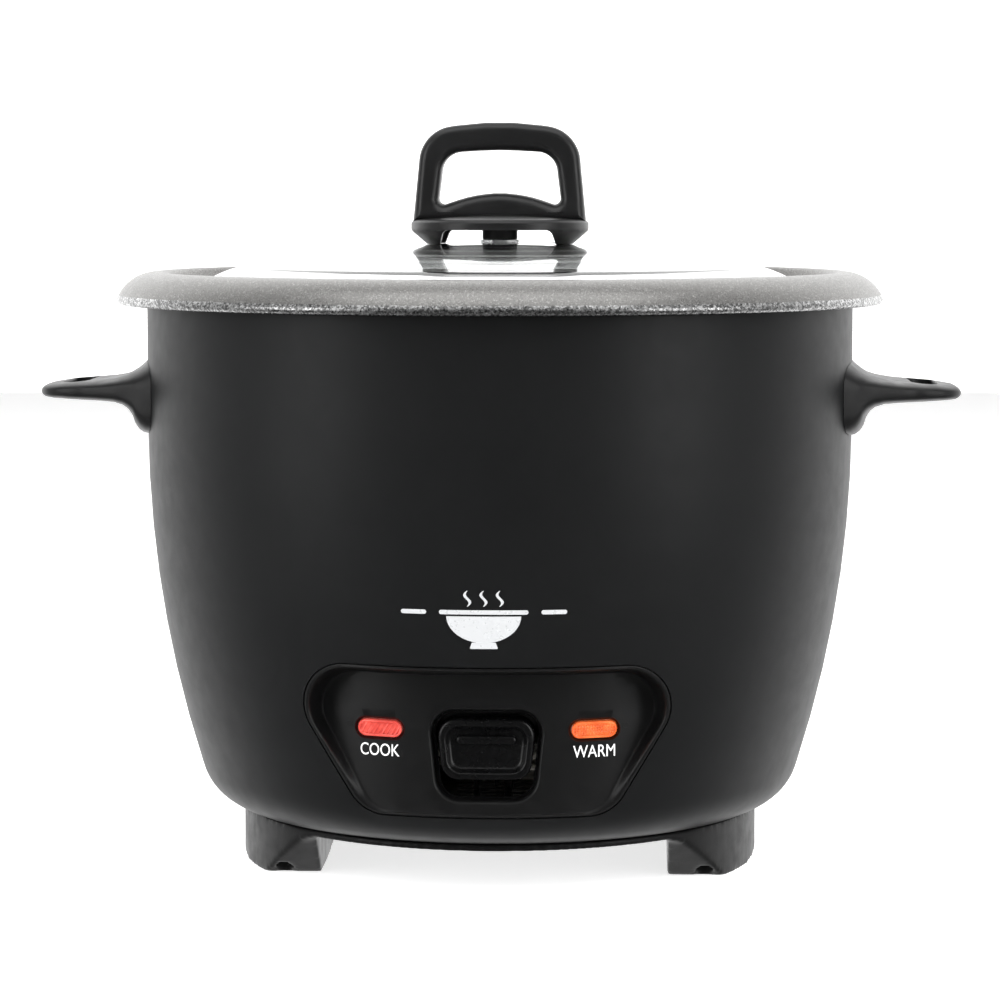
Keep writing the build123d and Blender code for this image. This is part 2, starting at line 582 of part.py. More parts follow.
# ================================================================ control panel
def well_outline(grow=0.0):
    """The key's well: the key's own outline with its gaps round it."""
    return inset_trapezoid(KEY_HALF_TOP, KEY_HALF_BOTTOM, KEY_TOP_Z, KEY_BOTTOM_Z,
                           -WELL_GAP_SIDE - grow, -WELL_GAP_TOP - grow, -WELL_GAP_BOTTOM - grow)


def lens_prism(side, grow, near, far):
    """Long rounded prism at a lens."""
    shape = SlotOverall(LENS_LENGTH + 2 * grow, LENS_HEIGHT + 2 * grow)
    return Pos(side * LENS_SPREAD, -near, LENS_Z) * Rot(90, 0, 0) * extrude(shape, amount=far - near)


def between(inner, outer):
    """Upright tube of the panel's height, and a little more."""
    low, high = PANEL_BOTTOM_Z - 20, PANEL_TOP_Z + 20
    return cylinder(outer, low, high) - cylinder(inner, low, high)


def control_panel():
    """Moulded front panel: bezel flush with the shell, recessed face, key well and a flange behind."""
    back = PANEL_FACE_RADIUS - PANEL_WALL
    panel = front_prism(panel_outline(), panel_radii(), PANEL_START, SHELL_RADIUS + 10) & shell_filled()
    flange = front_prism(panel_outline(PANEL_FLANGE), panel_radii(PANEL_FLANGE), PANEL_START, SHELL_RADIUS)
    panel += flange & shell_filled(-SHELL_WALL - FIT_GAP)
    panel -= cylinder(back, PANEL_BOTTOM_Z - 20, PANEL_TOP_Z + 20)
    face = inset_trapezoid(PANEL_HALF_TOP, PANEL_HALF_BOTTOM, PANEL_TOP_Z, PANEL_BOTTOM_Z,
                           PANEL_BEZEL_SIDE, PANEL_BEZEL_TOP, PANEL_BEZEL_BOTTOM)
    face_radii = [PANEL_BOTTOM_RADIUS - 2, PANEL_TOP_RADIUS - 3, PANEL_TOP_RADIUS - 3, PANEL_BOTTOM_RADIUS - 2]
    recess = front_prism(face, face_radii, PANEL_START, SHELL_RADIUS + 10)
    panel -= recess - cylinder(PANEL_FACE_RADIUS, PANEL_BOTTOM_Z - 20, PANEL_TOP_Z + 20)
    rear = PANEL_FACE_RADIUS - WELL_DEPTH
    well_radii = [KEY_FACE_CORNER + WELL_GAP_SIDE] * 4
    tube = front_prism(well_outline(WELL_WALL), well_radii, rear, SHELL_RADIUS + 10)
    panel += tube & cylinder(PANEL_FACE_RADIUS, PANEL_BOTTOM_Z - 20, PANEL_TOP_Z + 20)
    panel -= front_prism(well_outline(), well_radii, rear - 5, SHELL_RADIUS + 10)
    panel -= pan_envelope(2 * FIT_GAP)
    for side in (-1, 1):
        panel -= lens_prism(side, FIT_GAP, PANEL_START, SHELL_RADIUS)
    return panel


def lens(side):
    """Clear obround lens with a flange behind the panel's face."""
    back = PANEL_FACE_RADIUS - PANEL_WALL - FIT_GAP
    body = lens_prism(side, 0, PANEL_START, SHELL_RADIUS)
    body &= between(back - LENS_FLANGE, PANEL_FACE_RADIUS + LENS_PROUD)
    flange = lens_prism(side, LENS_FLANGE, PANEL_START, SHELL_RADIUS)
    return body + (flange & between(back - LENS_FLANGE, back))


def lamp_turn(side):
    """Direction of a lens's middle, as an angle about Z from the front."""
    return side * degrees(atan2(LENS_SPREAD, sqrt(PANEL_FACE_RADIUS ** 2 - LENS_SPREAD ** 2)))


def lamp_radius_place():
    return PANEL_FACE_RADIUS - PANEL_WALL - LENS_FLANGE - LAMP_INSET


def lamp(side):
    """Neon bulb that lies across, behind its lens."""
    half = LAMP_LENGTH / 2 - LAMP_RADIUS
    bulb = cylinder_x(LAMP_RADIUS, -half, half, -lamp_radius_place(), LENS_Z)
    for end in (-half, half):
        bulb += Pos(end, -lamp_radius_place(), LENS_Z) * Sphere(LAMP_RADIUS)
    return Rot(0, 0, lamp_turn(side)) * bulb


def lamp_holder(side):
    """Open-fronted box round a bulb, stuck to the back of the panel."""
    reach = LAMP_RADIUS + FIT_GAP
    half = LAMP_LENGTH / 2 + FIT_GAP
    front = PANEL_FACE_RADIUS - PANEL_WALL - LENS_FLANGE - LAMP_HOLDER_GAP
    back = lamp_radius_place() - reach
    space = block((-half, -front - 1, LENS_Z - reach), (half, -back, LENS_Z + reach))
    half, reach, back = half + LAMP_HOLDER_WALL, reach + LAMP_HOLDER_WALL, back - LAMP_HOLDER_WALL
    holder = block((-half, -front, LENS_Z - reach), (half, -back, LENS_Z + reach))
    return Rot(0, 0, lamp_turn(side)) * (holder - space)


# ================================================================ lever key
def key_outline(inset=0.0):
    return inset_trapezoid(KEY_HALF_TOP, KEY_HALF_BOTTOM, KEY_TOP_Z, KEY_BOTTOM_Z, inset, inset, inset)


def lever_blade(clearance=0.0):
    """The lever's front end, which the key is pushed onto."""
    half, thick = LEVER_WIDTH / 2 + clearance, LEVER_THICKNESS / 2 + clearance
    tip = PANEL_FACE_RADIUS - KEY_SCOOP - LEVER_TIP_WALL + clearance
    return block((-half, -tip, PIVOT_Z - thick), (half, PIVOT_Y, PIVOT_Z + thick))


def switch_key():
    """Moulded key: raised border, scooped face with a grip ridge, and a socket for the lever."""
    rear = PANEL_FACE_RADIUS - KEY_DEPTH
    low, high = KEY_BOTTOM_Z - 5, KEY_TOP_Z + 5
    key = front_prism(key_outline(), [KEY_FACE_CORNER] * 4, rear, SHELL_RADIUS)
    key &= cylinder(PANEL_FACE_RADIUS, low, high)
    scoop_radii = [KEY_FACE_CORNER - KEY_BORDER / 2] * 4
    scoop = front_prism(key_outline(KEY_BORDER), scoop_radii, rear, SHELL_RADIUS)
    key -= scoop - cylinder(PANEL_FACE_RADIUS - KEY_SCOOP, low, high)
    root = PANEL_FACE_RADIUS - KEY_SCOOP - 2
    reach = PANEL_FACE_RADIUS - KEY_RIDGE_PROUD - root
    ridge = extrude(SlotOverall(KEY_RIDGE_LENGTH, KEY_RIDGE_HEIGHT), amount=reach)
    key += Pos(0, -root, KEY_RIDGE_Z) * Rot(90, 0, 0) * ridge
    return key - lever_blade(FIT_GAP)


def lever_arm():
    """Steel lever: blade in the key, bored boss at the pivot and a fork round the plunger."""
    half = LEVER_WIDTH / 2
    arm = lever_blade()
    arm += block((-half, PIVOT_Y, PIVOT_Z - LEVER_THICKNESS / 2), (half, LEVER_TAIL, LEVER_TOP_Z))
    arm += cylinder_x(LEVER_BOSS_RADIUS, -half, half, PIVOT_Y, PIVOT_Z)
    arm -= cylinder_x(PIVOT_RADIUS + RUNNING_GAP, -half - 1, half + 1, PIVOT_Y, PIVOT_Z)
    slot = ROD_RADIUS + FORK_GAP
    return arm - block((-slot, -slot, PIVOT_Z - 5), (slot, LEVER_TAIL + 1, PIVOT_Z + 5))


def bracket_ear_x():
    return LEVER_WIDTH / 2 + SEAT_GAP


def lever_bracket():
    """Bent steel bracket: two ears for the pivot pin and a tab that carries the microswitch."""
    ear, thick = bracket_ear_x(), BRACKET_THICKNESS
    tab_near = MICROSWITCH_SIZE[0] / 2 + FIT_GAP
    switch_front = MICROSWITCH_Y - MICROSWITCH_SIZE[1] / 2
    switch_back = MICROSWITCH_Y + MICROSWITCH_SIZE[1] / 2
    front = PIVOT_Y - BRACKET_EAR_WIDTH / 2
    bracket = block((-ear - thick, front, BASE_TOP_Z), (ear + thick, switch_back, BASE_TOP_Z + thick))
    for side in (-1, 1):
        xs = sorted((side * ear, side * (ear + thick)))
        bracket += block((xs[0], front, BASE_TOP_Z), (xs[1], front + BRACKET_EAR_WIDTH, PIVOT_Z + BRACKET_EAR_TOP))
    bracket += block((tab_near, switch_front, BASE_TOP_Z), (tab_near + thick, switch_back, microswitch_top()))
    return bracket - cylinder_x(PIVOT_RADIUS + PIN_GAP, -ear - thick - 1, ear + thick + 1, PIVOT_Y, PIVOT_Z)


def lever_pivot_pin():
    reach = bracket_ear_x() + BRACKET_THICKNESS + 1
    return cylinder_x(PIVOT_RADIUS, -reach, reach, PIVOT_Y, PIVOT_Z)


def microswitch_top():
    return PIVOT_Z - LEVER_THICKNESS / 2 - SEAT_GAP - BUTTON_STROKE - BUTTON_REST


def microswitch_body():
    """Small snap-action switch with three blades below and a well for its button."""
    x, y, z = MICROSWITCH_SIZE
    top = microswitch_top()
    body = block((-x / 2, MICROSWITCH_Y - y / 2, top - z), (x / 2, MICROSWITCH_Y + y / 2, top))
    for step in (-1, 0, 1):
        middle = MICROSWITCH_Y + step * BLADE_PITCH
        body += block((-BLADE_THICKNESS / 2, middle - BLADE_WIDTH / 2, top - z - BLADE_LENGTH),
                      (BLADE_THICKNESS / 2, middle + BLADE_WIDTH / 2, top - z))
    wide, long = BUTTON_SIZE[0] / 2 + FIT_GAP, BUTTON_SIZE[1] / 2 + FIT_GAP
    return body - block((-wide, MICROSWITCH_Y - long, top - BUTTON_WELL), (wide, MICROSWITCH_Y + long, top + 1))


def microswitch_button():
    wide, long = BUTTON_SIZE[0] / 2, BUTTON_SIZE[1] / 2
    low, top = microswitch_top() - BUTTON_WELL + SEAT_GAP, PIVOT_Z - LEVER_THICKNESS / 2 - SEAT_GAP
    return block((-wide, MICROSWITCH_Y - long, low), (wide, MICROSWITCH_Y + long, top))


# ================================================================ heater
def boss_places():
    turns = [90 + 360 * n / HEATER_BOSS_COUNT for n in range(HEATER_BOSS_COUNT)]
    return [(HEATER_BOSS_RING * cos(radians(a)), HEATER_BOSS_RING * sin(radians(a))) for a in turns]


def element_start():
    """Angle from the rear, in degrees, of the element's cold ends."""
    return degrees(atan2(ELEMENT_LEG_SPREAD, sqrt(ELEMENT_RING ** 2 - ELEMENT_LEG_SPREAD ** 2)))


def element_ring(radius):
    gap = element_start()
    section = Pos(ELEMENT_RING, 0, 0) * Rot(90, 0, 0) * Circle(radius)
    return Pos(0, 0, element_z()) * Rot(0, 0, 90 + gap) * revolve(section, Axis.Z, 360 - 2 * gap)


def element_z():
    return HEATER_TOP_Z - HEATER_THICKNESS + ELEMENT_RADIUS / 2


def element_leg_places():
    y = sqrt(ELEMENT_RING ** 2 - ELEMENT_LEG_SPREAD ** 2)
    return [(-ELEMENT_LEG_SPREAD, y), (ELEMENT_LEG_SPREAD, y)]


def heater_plate():
    """Cast plate with a groove for the element, three feet and a hole for the sensor."""
    under = HEATER_TOP_Z - HEATER_THICKNESS
    bevel = HEATER_BEVEL
    plate = turned([(HEATER_HOLE, under), (HEATER_RADIUS, under), (HEATER_RADIUS, HEATER_TOP_Z - bevel),
                    (HEATER_RADIUS - bevel, HEATER_TOP_Z), (HEATER_HOLE, HEATER_TOP_Z)])
    for place in boss_places():
        plate += cylinder(HEATER_BOSS_RADIUS, PAN_TOP_Z, under + 1, place)
        plate -= cylinder(SCREW_RADIUS + FIT_GAP, PAN_TOP_Z - 1, under + 3, place)
    plate -= element_ring(ELEMENT_RADIUS + FIT_GAP)
    for place in element_leg_places():
        plate -= cylinder(ELEMENT_RADIUS + FIT_GAP, under - 1, element_z(), place)
        plate -= Pos(place[0], place[1], element_z()) * Sphere(ELEMENT_RADIUS + FIT_GAP)
    return plate


def heating_element():
    """Sheathed ring with two cold ends that turn down through the pan."""
    element = element_ring(ELEMENT_RADIUS)
    for place in element_leg_places():
        element += Pos(place[0], place[1], element_z()) * Sphere(ELEMENT_RADIUS)
        end = element_z() - ELEMENT_LEG_LENGTH
        element += cylinder(ELEMENT_RADIUS, end + ELEMENT_STUD_LENGTH, element_z(), place)
        element += cylinder(ELEMENT_RADIUS / 2, end, element_z(), place)
    return element


def heater_screws():
    length = PAN_WALL + HEATER_TOP_Z - HEATER_THICKNESS - PAN_TOP_Z
    return [Pos(x, y, PAN_Z) * screw(length) for x, y in boss_places()]


def pan_skin():
    """Inner skin of the pan: a floor, a wall and a 45-degree flare that clears the pot's corner."""
    corner_r = POT_FLAT_RADIUS - POT_WALL
    corner_z = POT_BOTTOM_Z + POT_CORNER_RADIUS + POT_WALL
    offset = (POT_CORNER_RADIUS + POT_WALL + PAN_POT_GAP) * sqrt(2)
    wall = PAN_RADIUS - PAN_WALL
    flare = corner_z - corner_r - offset
    points = [(SLEEVE_RADIUS + 1, PAN_TOP_Z), (wall, PAN_TOP_Z), (wall, wall + flare),
              (SHELL_RADIUS + 5, SHELL_RADIUS + 5 + flare)]
    return points, [PAN_CORNER_RADIUS, PAN_CORNER_RADIUS]


def pan_envelope(clearance):
    """Everything above the underside of the pan's flare, moved out by a clearance."""
    points, radii = pan_skin()
    path, path_radii = parallel(points[1:], radii[1:], PAN_WALL + clearance)
    top = path[-1][1]
    return turned([(0, path[0][1])] + path + [(0, top)], [0, 0] + path_radii + [0, 0])


def heat_shield_pan():
    """Pan under the heater that flares out round the pot to meet the shell."""
    points, radii = pan_skin()
    pan = bent_sheet(points, radii, PAN_WALL) & shell_filled(-SHELL_WALL - FIT_GAP)
    for place in boss_places():
        pan -= cylinder(SCREW_RADIUS + FIT_GAP, PAN_Z - 1, PAN_TOP_Z + 1, place)
    for place in element_leg_places():
        pan -= cylinder(ELEMENT_RADIUS + 1.0, PAN_Z - 1, PAN_TOP_Z + 1, place)
    return pan


def shell_inner_radius(z):
    """Inside of the shell at a height on its long sweep."""
    lean = radians(SHELL_LEAN)
    start = SHELL_KNEE_Z + SHELL_SWEEP_RADIUS * tan(lean / 2)
    if z >= start:
        return SHELL_RADIUS - SHELL_WALL
    middle = SHELL_RADIUS - SHELL_SWEEP_RADIUS
    return middle + sqrt((SHELL_SWEEP_RADIUS - SHELL_WALL) ** 2 - (start - z) ** 2)


# ================================================================ thermostat
def sensor_cup():
    """Sprung aluminium cup that touches the pot through the heater's hole."""
    return cylinder(CUP_RADIUS, CUP_TOP_Z - CUP_HEIGHT, CUP_TOP_Z) - cylinder(
        CUP_RADIUS - CUP_WALL, CUP_TOP_Z - CUP_HEIGHT - 1, CUP_TOP_Z - CUP_WALL)


def ferrite():
    """Soft ferrite slug with a spigot that hangs from the cup's top."""
    return cylinder(FERRITE_RADIUS, FERRITE_Z, CUP_TOP_Z - CUP_WALL)


def thermostat_sleeve():
    """Guide tube on the pan: lips at both ends keep the plunger and its spring in."""
    top = PAN_TOP_Z + SLEEVE_HEIGHT
    tube = cylinder(SLEEVE_RADIUS, PAN_TOP_Z, top)
    tube -= cylinder(SLEEVE_RADIUS - SLEEVE_WALL, PAN_TOP_Z + SLEEVE_LIP, top - SLEEVE_LIP)
    tube += cylinder(SLEEVE_RADIUS + SLEEVE_FLANGE, PAN_TOP_Z, PAN_TOP_Z + SLEEVE_LIP)
    tube -= cylinder(COLLAR_RADIUS + 2 * SLIDE_GAP, PAN_TOP_Z - 1, PAN_TOP_Z + SLEEVE_LIP + 1)
    return tube - cylinder(MAGNET_RADIUS + SLIDE_GAP, top - SLEEVE_LIP - 1, top + 1)


def cup_spring():
    """Spring that holds the cup up against the pot."""
    low, high = PAN_TOP_Z + SLEEVE_LIP, CUP_TOP_Z - CUP_HEIGHT
    return coil_spring(CUP_RADIUS - CUP_WALL / 2, low, high, CUP_SPRING_TURNS)


def plunger_rod():
    """Rod with a collar over the lever and a seat for the spring and the magnet."""
    rod = cylinder(ROD_RADIUS, PIVOT_Z - ROD_END, SEAT_Z + SEAT_THICKNESS)
    rod += cylinder(COLLAR_RADIUS, COLLAR_Z, COLLAR_Z + COLLAR_THICKNESS)
    return rod + cylinder(SLEEVE_RADIUS - SLEEVE_WALL - SLIDE_GAP, SEAT_Z, SEAT_Z + SEAT_THICKNESS)


def magnet():
    return cylinder(MAGNET_RADIUS, MAGNET_Z, MAGNET_Z + MAGNET_THICKNESS)


def plunger_spring():
    """Spring that pushes the plunger and the key back when the magnet lets go."""
    inner, outer = MAGNET_RADIUS + SLIDE_GAP, SLEEVE_RADIUS - SLEEVE_WALL
    high = PAN_TOP_Z + SLEEVE_HEIGHT - SLEEVE_LIP
    return coil_spring((inner + outer) / 2, MAGNET_Z, high, PLUNGER_SPRING_TURNS)


# ================================================================ electrics under the pan
def warm_thermostat():
    """Disc thermostat that switches the keep-warm heat, with two blades."""
    x, y = WARM_STAT_PLACE
    body = cylinder(WARM_STAT_RADIUS, PAN_Z - WARM_STAT_HEIGHT, PAN_Z, WARM_STAT_PLACE)
    body += cylinder(WARM_STAT_RADIUS + 2, PAN_Z - 1, PAN_Z, WARM_STAT_PLACE)
    for step in (-4, 4):
        low = PAN_Z - WARM_STAT_HEIGHT - 5
        body += block((x + step - 0.3, y - 2, low), (x + step + 0.3, y + 2, PAN_Z - WARM_STAT_HEIGHT))
    return body


def fuse_z():
    return PAN_Z - FUSE_RADIUS - FIT_GAP


def thermal_fuse():
    x, y = FUSE_PLACE
    half = FUSE_LENGTH / 2
    body = cylinder_y(FUSE_RADIUS, y - half, y + half, x, fuse_z())
    return body + cylinder_y(FUSE_LEAD_RADIUS, y - half - FUSE_LEAD, y + half + FUSE_LEAD, x, fuse_z())


def fuse_clip():
    """Strap that holds the fuse up against the pan."""
    x, y = FUSE_PLACE
    half = FUSE_CLIP_WIDTH / 2
    outer = FUSE_RADIUS + FIT_GAP + FUSE_CLIP_WALL
    strap = cylinder_y(outer, y - half, y + half, x, fuse_z())
    strap += block((x - outer, y - half, fuse_z()), (x + outer, y + half, PAN_Z))
    strap += block((x - outer - FUSE_CLIP_TAB, y - half, PAN_Z - FUSE_CLIP_WALL), (x + outer, y + half, PAN_Z))
    strap -= cylinder_y(FUSE_RADIUS + FIT_GAP, y - half - 1, y + half + 1, x, fuse_z())
    inner = FUSE_RADIUS + FIT_GAP
    return strap - block((x - inner, y - half - 1, fuse_z()), (x + inner, y + half + 1, PAN_Z + 1))


def terminal_block():
    """Ceramic block with three wire ports and their clamp screws' wells."""
    x, y, z = TERMINAL_SIZE
    body = block((-x / 2, TERMINAL_Y - y / 2, BASE_TOP_Z), (x / 2, TERMINAL_Y + y / 2, BASE_TOP_Z + z))
    for step in TERMINAL_PORTS:
        body -= cylinder_y(WIRE_RADIUS + 0.4, TERMINAL_Y - y, TERMINAL_Y + y, step, terminal_wire_z())
        body -= cylinder(1.8, BASE_TOP_Z + z - 3, BASE_TOP_Z + z + 1, (step, TERMINAL_Y))
    return body


def terminal_wire_z():
    return BASE_TOP_Z + TERMINAL_SIZE[2] / 2


def inlet_pin_places():
    """(x, z) of the live, earth and neutral pins; the middle one stands higher."""
    low, high = INLET_Z - INLET_PIN_STAGGER, INLET_Z + INLET_PIN_STAGGER
    return [(-INLET_PIN_SPREAD, low), (0, high), (INLET_PIN_SPREAD, low)]


def inlet_front():
    return shell_inner_radius(INLET_Z) + SHELL_WALL + INLET_FLANGE_THICKNESS


def appliance_inlet():
    """Rear socket for a mains lead: a shroud through the shell and a flange that follows it."""
    half_x, half_z = INLET_MOUTH[0] / 2, INLET_MOUTH[1] / 2
    rear, wall = inlet_front() - INLET_DEPTH, INLET_WALL
    shroud = block((-half_x - wall, rear, INLET_Z - half_z - wall),
                   (half_x + wall, SHELL_RADIUS, INLET_Z + half_z + wall))
    flange = RectangleRounded(INLET_FLANGE[0], INLET_FLANGE[1], INLET_FLANGE_CORNER)
    cover = Pos(0, SHELL_RADIUS, INLET_Z) * Rot(90, 0, 0) * extrude(flange, amount=SHELL_RADIUS - rear)
    cover -= shell_filled(FIT_GAP)
    inlet = (shroud + cover) & shell_filled(INLET_FLANGE_THICKNESS)
    inlet -= block((-half_x, rear + wall, INLET_Z - half_z), (half_x, SHELL_RADIUS + 10, INLET_Z + half_z))
    for place in inlet_pin_places():
        inlet -= inlet_blade(place, rear - 1, rear + wall + 1)
    for x in inlet_screw_places():
        inlet -= cylinder_y(SCREW_RADIUS + FIT_GAP, SHELL_FLOOR_HOLE, SHELL_RADIUS, x, INLET_Z)
    return inlet


def inlet_blade(place, near, far):
    """Flat pin at an (x, z) place between two distances from the axis."""
    x, z = place
    wide, thick = INLET_PIN[0] / 2, INLET_PIN[1] / 2
    return block((x - wide, near, z - thick), (x + wide, far, z + thick))


def inlet_pins():
    tail = inlet_front() - INLET_DEPTH - INLET_PIN_TAIL
    return [inlet_blade(place, tail, inlet_front() - INLET_PIN_SETBACK) for place in inlet_pin_places()]


def inlet_screws():
    """Screws through the flange into the shell."""
    seat = sqrt(inlet_front() ** 2 - (INLET_SCREW_SPREAD - INLET_SCREW_HEAD) ** 2) + 1
    fastener = screw(INLET_FLANGE_THICKNESS + INLET_SCREW_GRIP, head_height=1.6, head_radius=INLET_SCREW_HEAD)
    return [Pos(x, seat, INLET_Z) * Rot(90, 0, 0) * fastener for x in inlet_screw_places()]


def inlet_wires():
    """Leads from the inlet's pins down to the terminal block."""
    start = inlet_front() - INLET_DEPTH - INLET_PIN_TAIL
    leads = []
    for (x, z), port in zip(inlet_pin_places(), TERMINAL_PORTS):
        end_z = terminal_wire_z()
        leads.append(wire([(x, start - FIT_GAP, z), (x, start - 12, z), (port, start - 22, end_z),
                           (port, TERMINAL_Y + 2, end_z)], bend=4))
    return leads


def heater_wires():
    """Leads from the terminal block up to the element's cold ends."""
    leads = []
    end_z = element_z() - ELEMENT_LEG_LENGTH - FIT_GAP
    near = TERMINAL_Y - 2
    for side, (x, y) in zip((-1, 1), element_leg_places()):
        port = side * TERMINAL_PORTS[2]
        leads.append(wire([(port, near, terminal_wire_z()), (port, near - 20, terminal_wire_z()),
                           (side * 34, near - 20, terminal_wire_z() + 4),
                           (side * 34, y, terminal_wire_z() + 10),
                           (x, y, terminal_wire_z() + 10), (x, y, end_z)], bend=3.5))
    return leads


def lamp_wires():
    """Leads from the lamps back under the pan to the terminal block."""
    leads = []
    for side in (-1, 1):
        turn = radians(abs(lamp_turn(side)))
        reach = lamp_radius_place() - LAMP_RADIUS - LAMP_HOLDER_WALL - FIT_GAP - WIRE_RADIUS - FIT_GAP
        x, y = side * reach * sin(turn), -reach * cos(turn)
        leads.append(wire([(x, y, LENS_Z - 2), (x, y, LENS_Z - 24), (side * 26, -22, LENS_Z - 30),
                           (side * 22, TERMINAL_Y - 30, terminal_wire_z() + 12),
                           (side * 4, TERMINAL_Y - 22, terminal_wire_z()),
                           (side * 4, TERMINAL_Y - 10.5, terminal_wire_z())], bend=5))
    return leads


# ================================================================ inner pot, lid and knob
def pot_skin():
    """Inner skin of the pot from its middle out over the rim to the curled lip."""
    inside = POT_RADIUS - POT_WALL
    floor = POT_BOTTOM_Z + POT_WALL
    turn = radians(RIM_TURN)
    lip = (SHELL_RADIUS + RIM_OVERHANG, CREST_Z - RIM_LIP_DROP)
    shoulder = (lip[0] - RIM_LIP_DROP / tan(turn), CREST_Z)
    end = (lip[0] - RIM_CURL_LENGTH * sin(turn), lip[1] - RIM_CURL_LENGTH * cos(turn))
    points = [(0, floor), (inside, floor), (inside, LEDGE_Z), (LEDGE_EDGE, LEDGE_Z),
              (LEDGE_EDGE + RIM_RISER_RUN, CREST_Z), shoulder, lip, end]
    radii = [POT_CORNER_RADIUS, POT_WALL + 0.9, 1.0, POT_WALL + 0.6, RIM_RADIUS, RIM_CURL_RADIUS]
    return points, radii


def inner_pot():
    points, radii = pot_skin()
    return bent_sheet(points, radii, POT_WALL)


def glass_lid():
    bend, shoulder = lid_bend(), lid_shoulder()
    points = [(0, LID_CROWN_Z), shoulder, bend, (LID_RADIUS, LID_EDGE_Z)]
    lid = bent_sheet(points, [lid_dome_radius(), LID_BEND_RADIUS], LID_THICKNESS)
    lid -= cylinder(KNOB_SCREW_RADIUS + 1.2, LID_CROWN_Z - 10, LID_CROWN_Z + 1)
    return lid - cylinder(VENT_RADIUS, LID_CROWN_Z - 15, LID_CROWN_Z + 1, VENT_PLACE)


def lid_bend():
    """Where the dome and the steeper edge of the glass meet."""
    return LID_RADIUS - LID_BEND_INSET, LID_EDGE_Z + LID_BEND_RISE


def lid_shoulder():
    """Corner of the dome's outline, for an arc that starts near the middle and ends near the bend."""
    reach, rise = lid_bend()[0], LID_CROWN_Z - lid_bend()[1]
    return reach - (reach ** 2 + rise ** 2) / (2 * reach) - LID_SHOULDER_INSET, LID_CROWN_Z


def lid_dome_radius():
    (reach, low), (corner, top) = lid_bend(), lid_shoulder()
    return LID_DOME_SHARE * corner / tan(atan2(top - low, reach - corner) / 2)


def knob_top(rise):
    return LID_CROWN_Z + rise


def lid_knob():
    """Moulded knob: hollow foot with two windows, a round ring and a finger arch."""
    ring_low, ring_top = knob_top(KNOB_RING_Z), knob_top(KNOB_RING_Z + KNOB_RING_HEIGHT)
    foot_z = lid_top_at(KNOB_FOOT_RADIUS) + 2 * FIT_GAP
    crown = ring_top + KNOB_CROWN_RISE
    boss_z = LID_CROWN_Z + KNOB_WASHER_THICKNESS
    hollow_top = ring_top - KNOB_SKIN
    points = [(0, boss_z), (KNOB_BOSS_RADIUS, boss_z), (KNOB_BOSS_RADIUS, hollow_top),
              (KNOB_RADIUS - KNOB_SKIN - 1, hollow_top), (KNOB_FOOT_RADIUS - KNOB_FOOT_WALL, foot_z),
              (KNOB_FOOT_RADIUS, foot_z), (KNOB_RADIUS - 0.8, ring_low), (KNOB_RADIUS, ring_low + 0.8),
              (KNOB_RADIUS, ring_top - 1), (KNOB_RADIUS - 1.2, ring_top), (0, crown)]
    knob = turned(points)
    reach = KNOB_RADIUS + 1
    opening = block((-KNOB_WINDOW_HALF, -reach, foot_z - 1), (KNOB_WINDOW_HALF, reach, ring_low))
    knob -= opening - cylinder(KNOB_BOSS_RADIUS, foot_z - 2, ring_low + 1)
    knob += knob_arch(crown)
    return knob - cylinder(KNOB_SCREW_RADIUS + FIT_GAP, boss_z - 1, crown + 3)


def knob_arch(crown):
    """Upright finger arch with a humped web at its foot."""
    top = knob_top(ARCH_HEIGHT)
    foot = crown - KNOB_CROWN_RISE - 0.5
    half_depth = ARCH_DEPTH / 2
    arch = front_prism(trapezoid(ARCH_HALF_TOP, ARCH_HALF_FOOT, top, foot),
                       [0, ARCH_CORNER_RADIUS, ARCH_CORNER_RADIUS, 0], -half_depth, half_depth)
    faces = arch.edges().filter_by(lambda e: abs(abs(e.center().Y) - half_depth) < 0.01)
    arch = chamfer(faces.filter_by(lambda e: e.center().Z > foot + 1), ARCH_EDGE)
    web_end, web_crown = knob_top(ARCH_WEB_END), knob_top(ARCH_WEB_CROWN)
    gap_foot = ARCH_HALF_FOOT - ARCH_LEG_FOOT
    gap = front_prism(trapezoid(ARCH_HALF_TOP - ARCH_LEG_TOP, gap_foot, top - ARCH_BAR, web_end),
                      [2, ARCH_GAP_CORNER, ARCH_GAP_CORNER, 2], -half_depth - 1, half_depth + 1)
    rise = web_crown - web_end
    hump = (gap_foot ** 2 + rise ** 2) / (2 * rise)
    gap -= cylinder_y(hump, -half_depth - 2, half_depth + 2, 0, web_crown - hump)
    return arch - gap


def lid_top_at(radius):
    """Height of the glass's top near its middle."""
    return LID_CROWN_Z - radius ** 2 / (2 * lid_dome_radius())


def knob_washer():
    """Clear washer between the knob's boss and the glass."""
    return cylinder(KNOB_WASHER_RADIUS, LID_CROWN_Z, LID_CROWN_Z + KNOB_WASHER_THICKNESS) - cylinder(
        KNOB_SCREW_RADIUS + FIT_GAP, LID_CROWN_Z - 1, LID_CROWN_Z + KNOB_WASHER_THICKNESS + 1)


def knob_screw():
    """Screw from under the glass up into the knob's boss."""
    under = LID_CROWN_Z - LID_THICKNESS
    return Pos(0, 0, under - FIT_GAP) * screw(LID_THICKNESS + 10, KNOB_SCREW_RADIUS, 5.0, 2.6)


def vent_grommet():
    """Turned steel bush in the lid's steam hole."""
    x, y = VENT_PLACE
    top = lid_top_at(hypot(x, y)) + 0.9
    low = top - LID_THICKNESS - 1.2
    bush = cylinder(VENT_RADIUS - FIT_GAP, low, top + 0.8, VENT_PLACE)
    bush += cylinder(VENT_RADIUS + 2, top, top + 0.8, VENT_PLACE)
    return bush - cylinder(VENT_RADIUS - 1, low - 1, top + 2, VENT_PLACE)


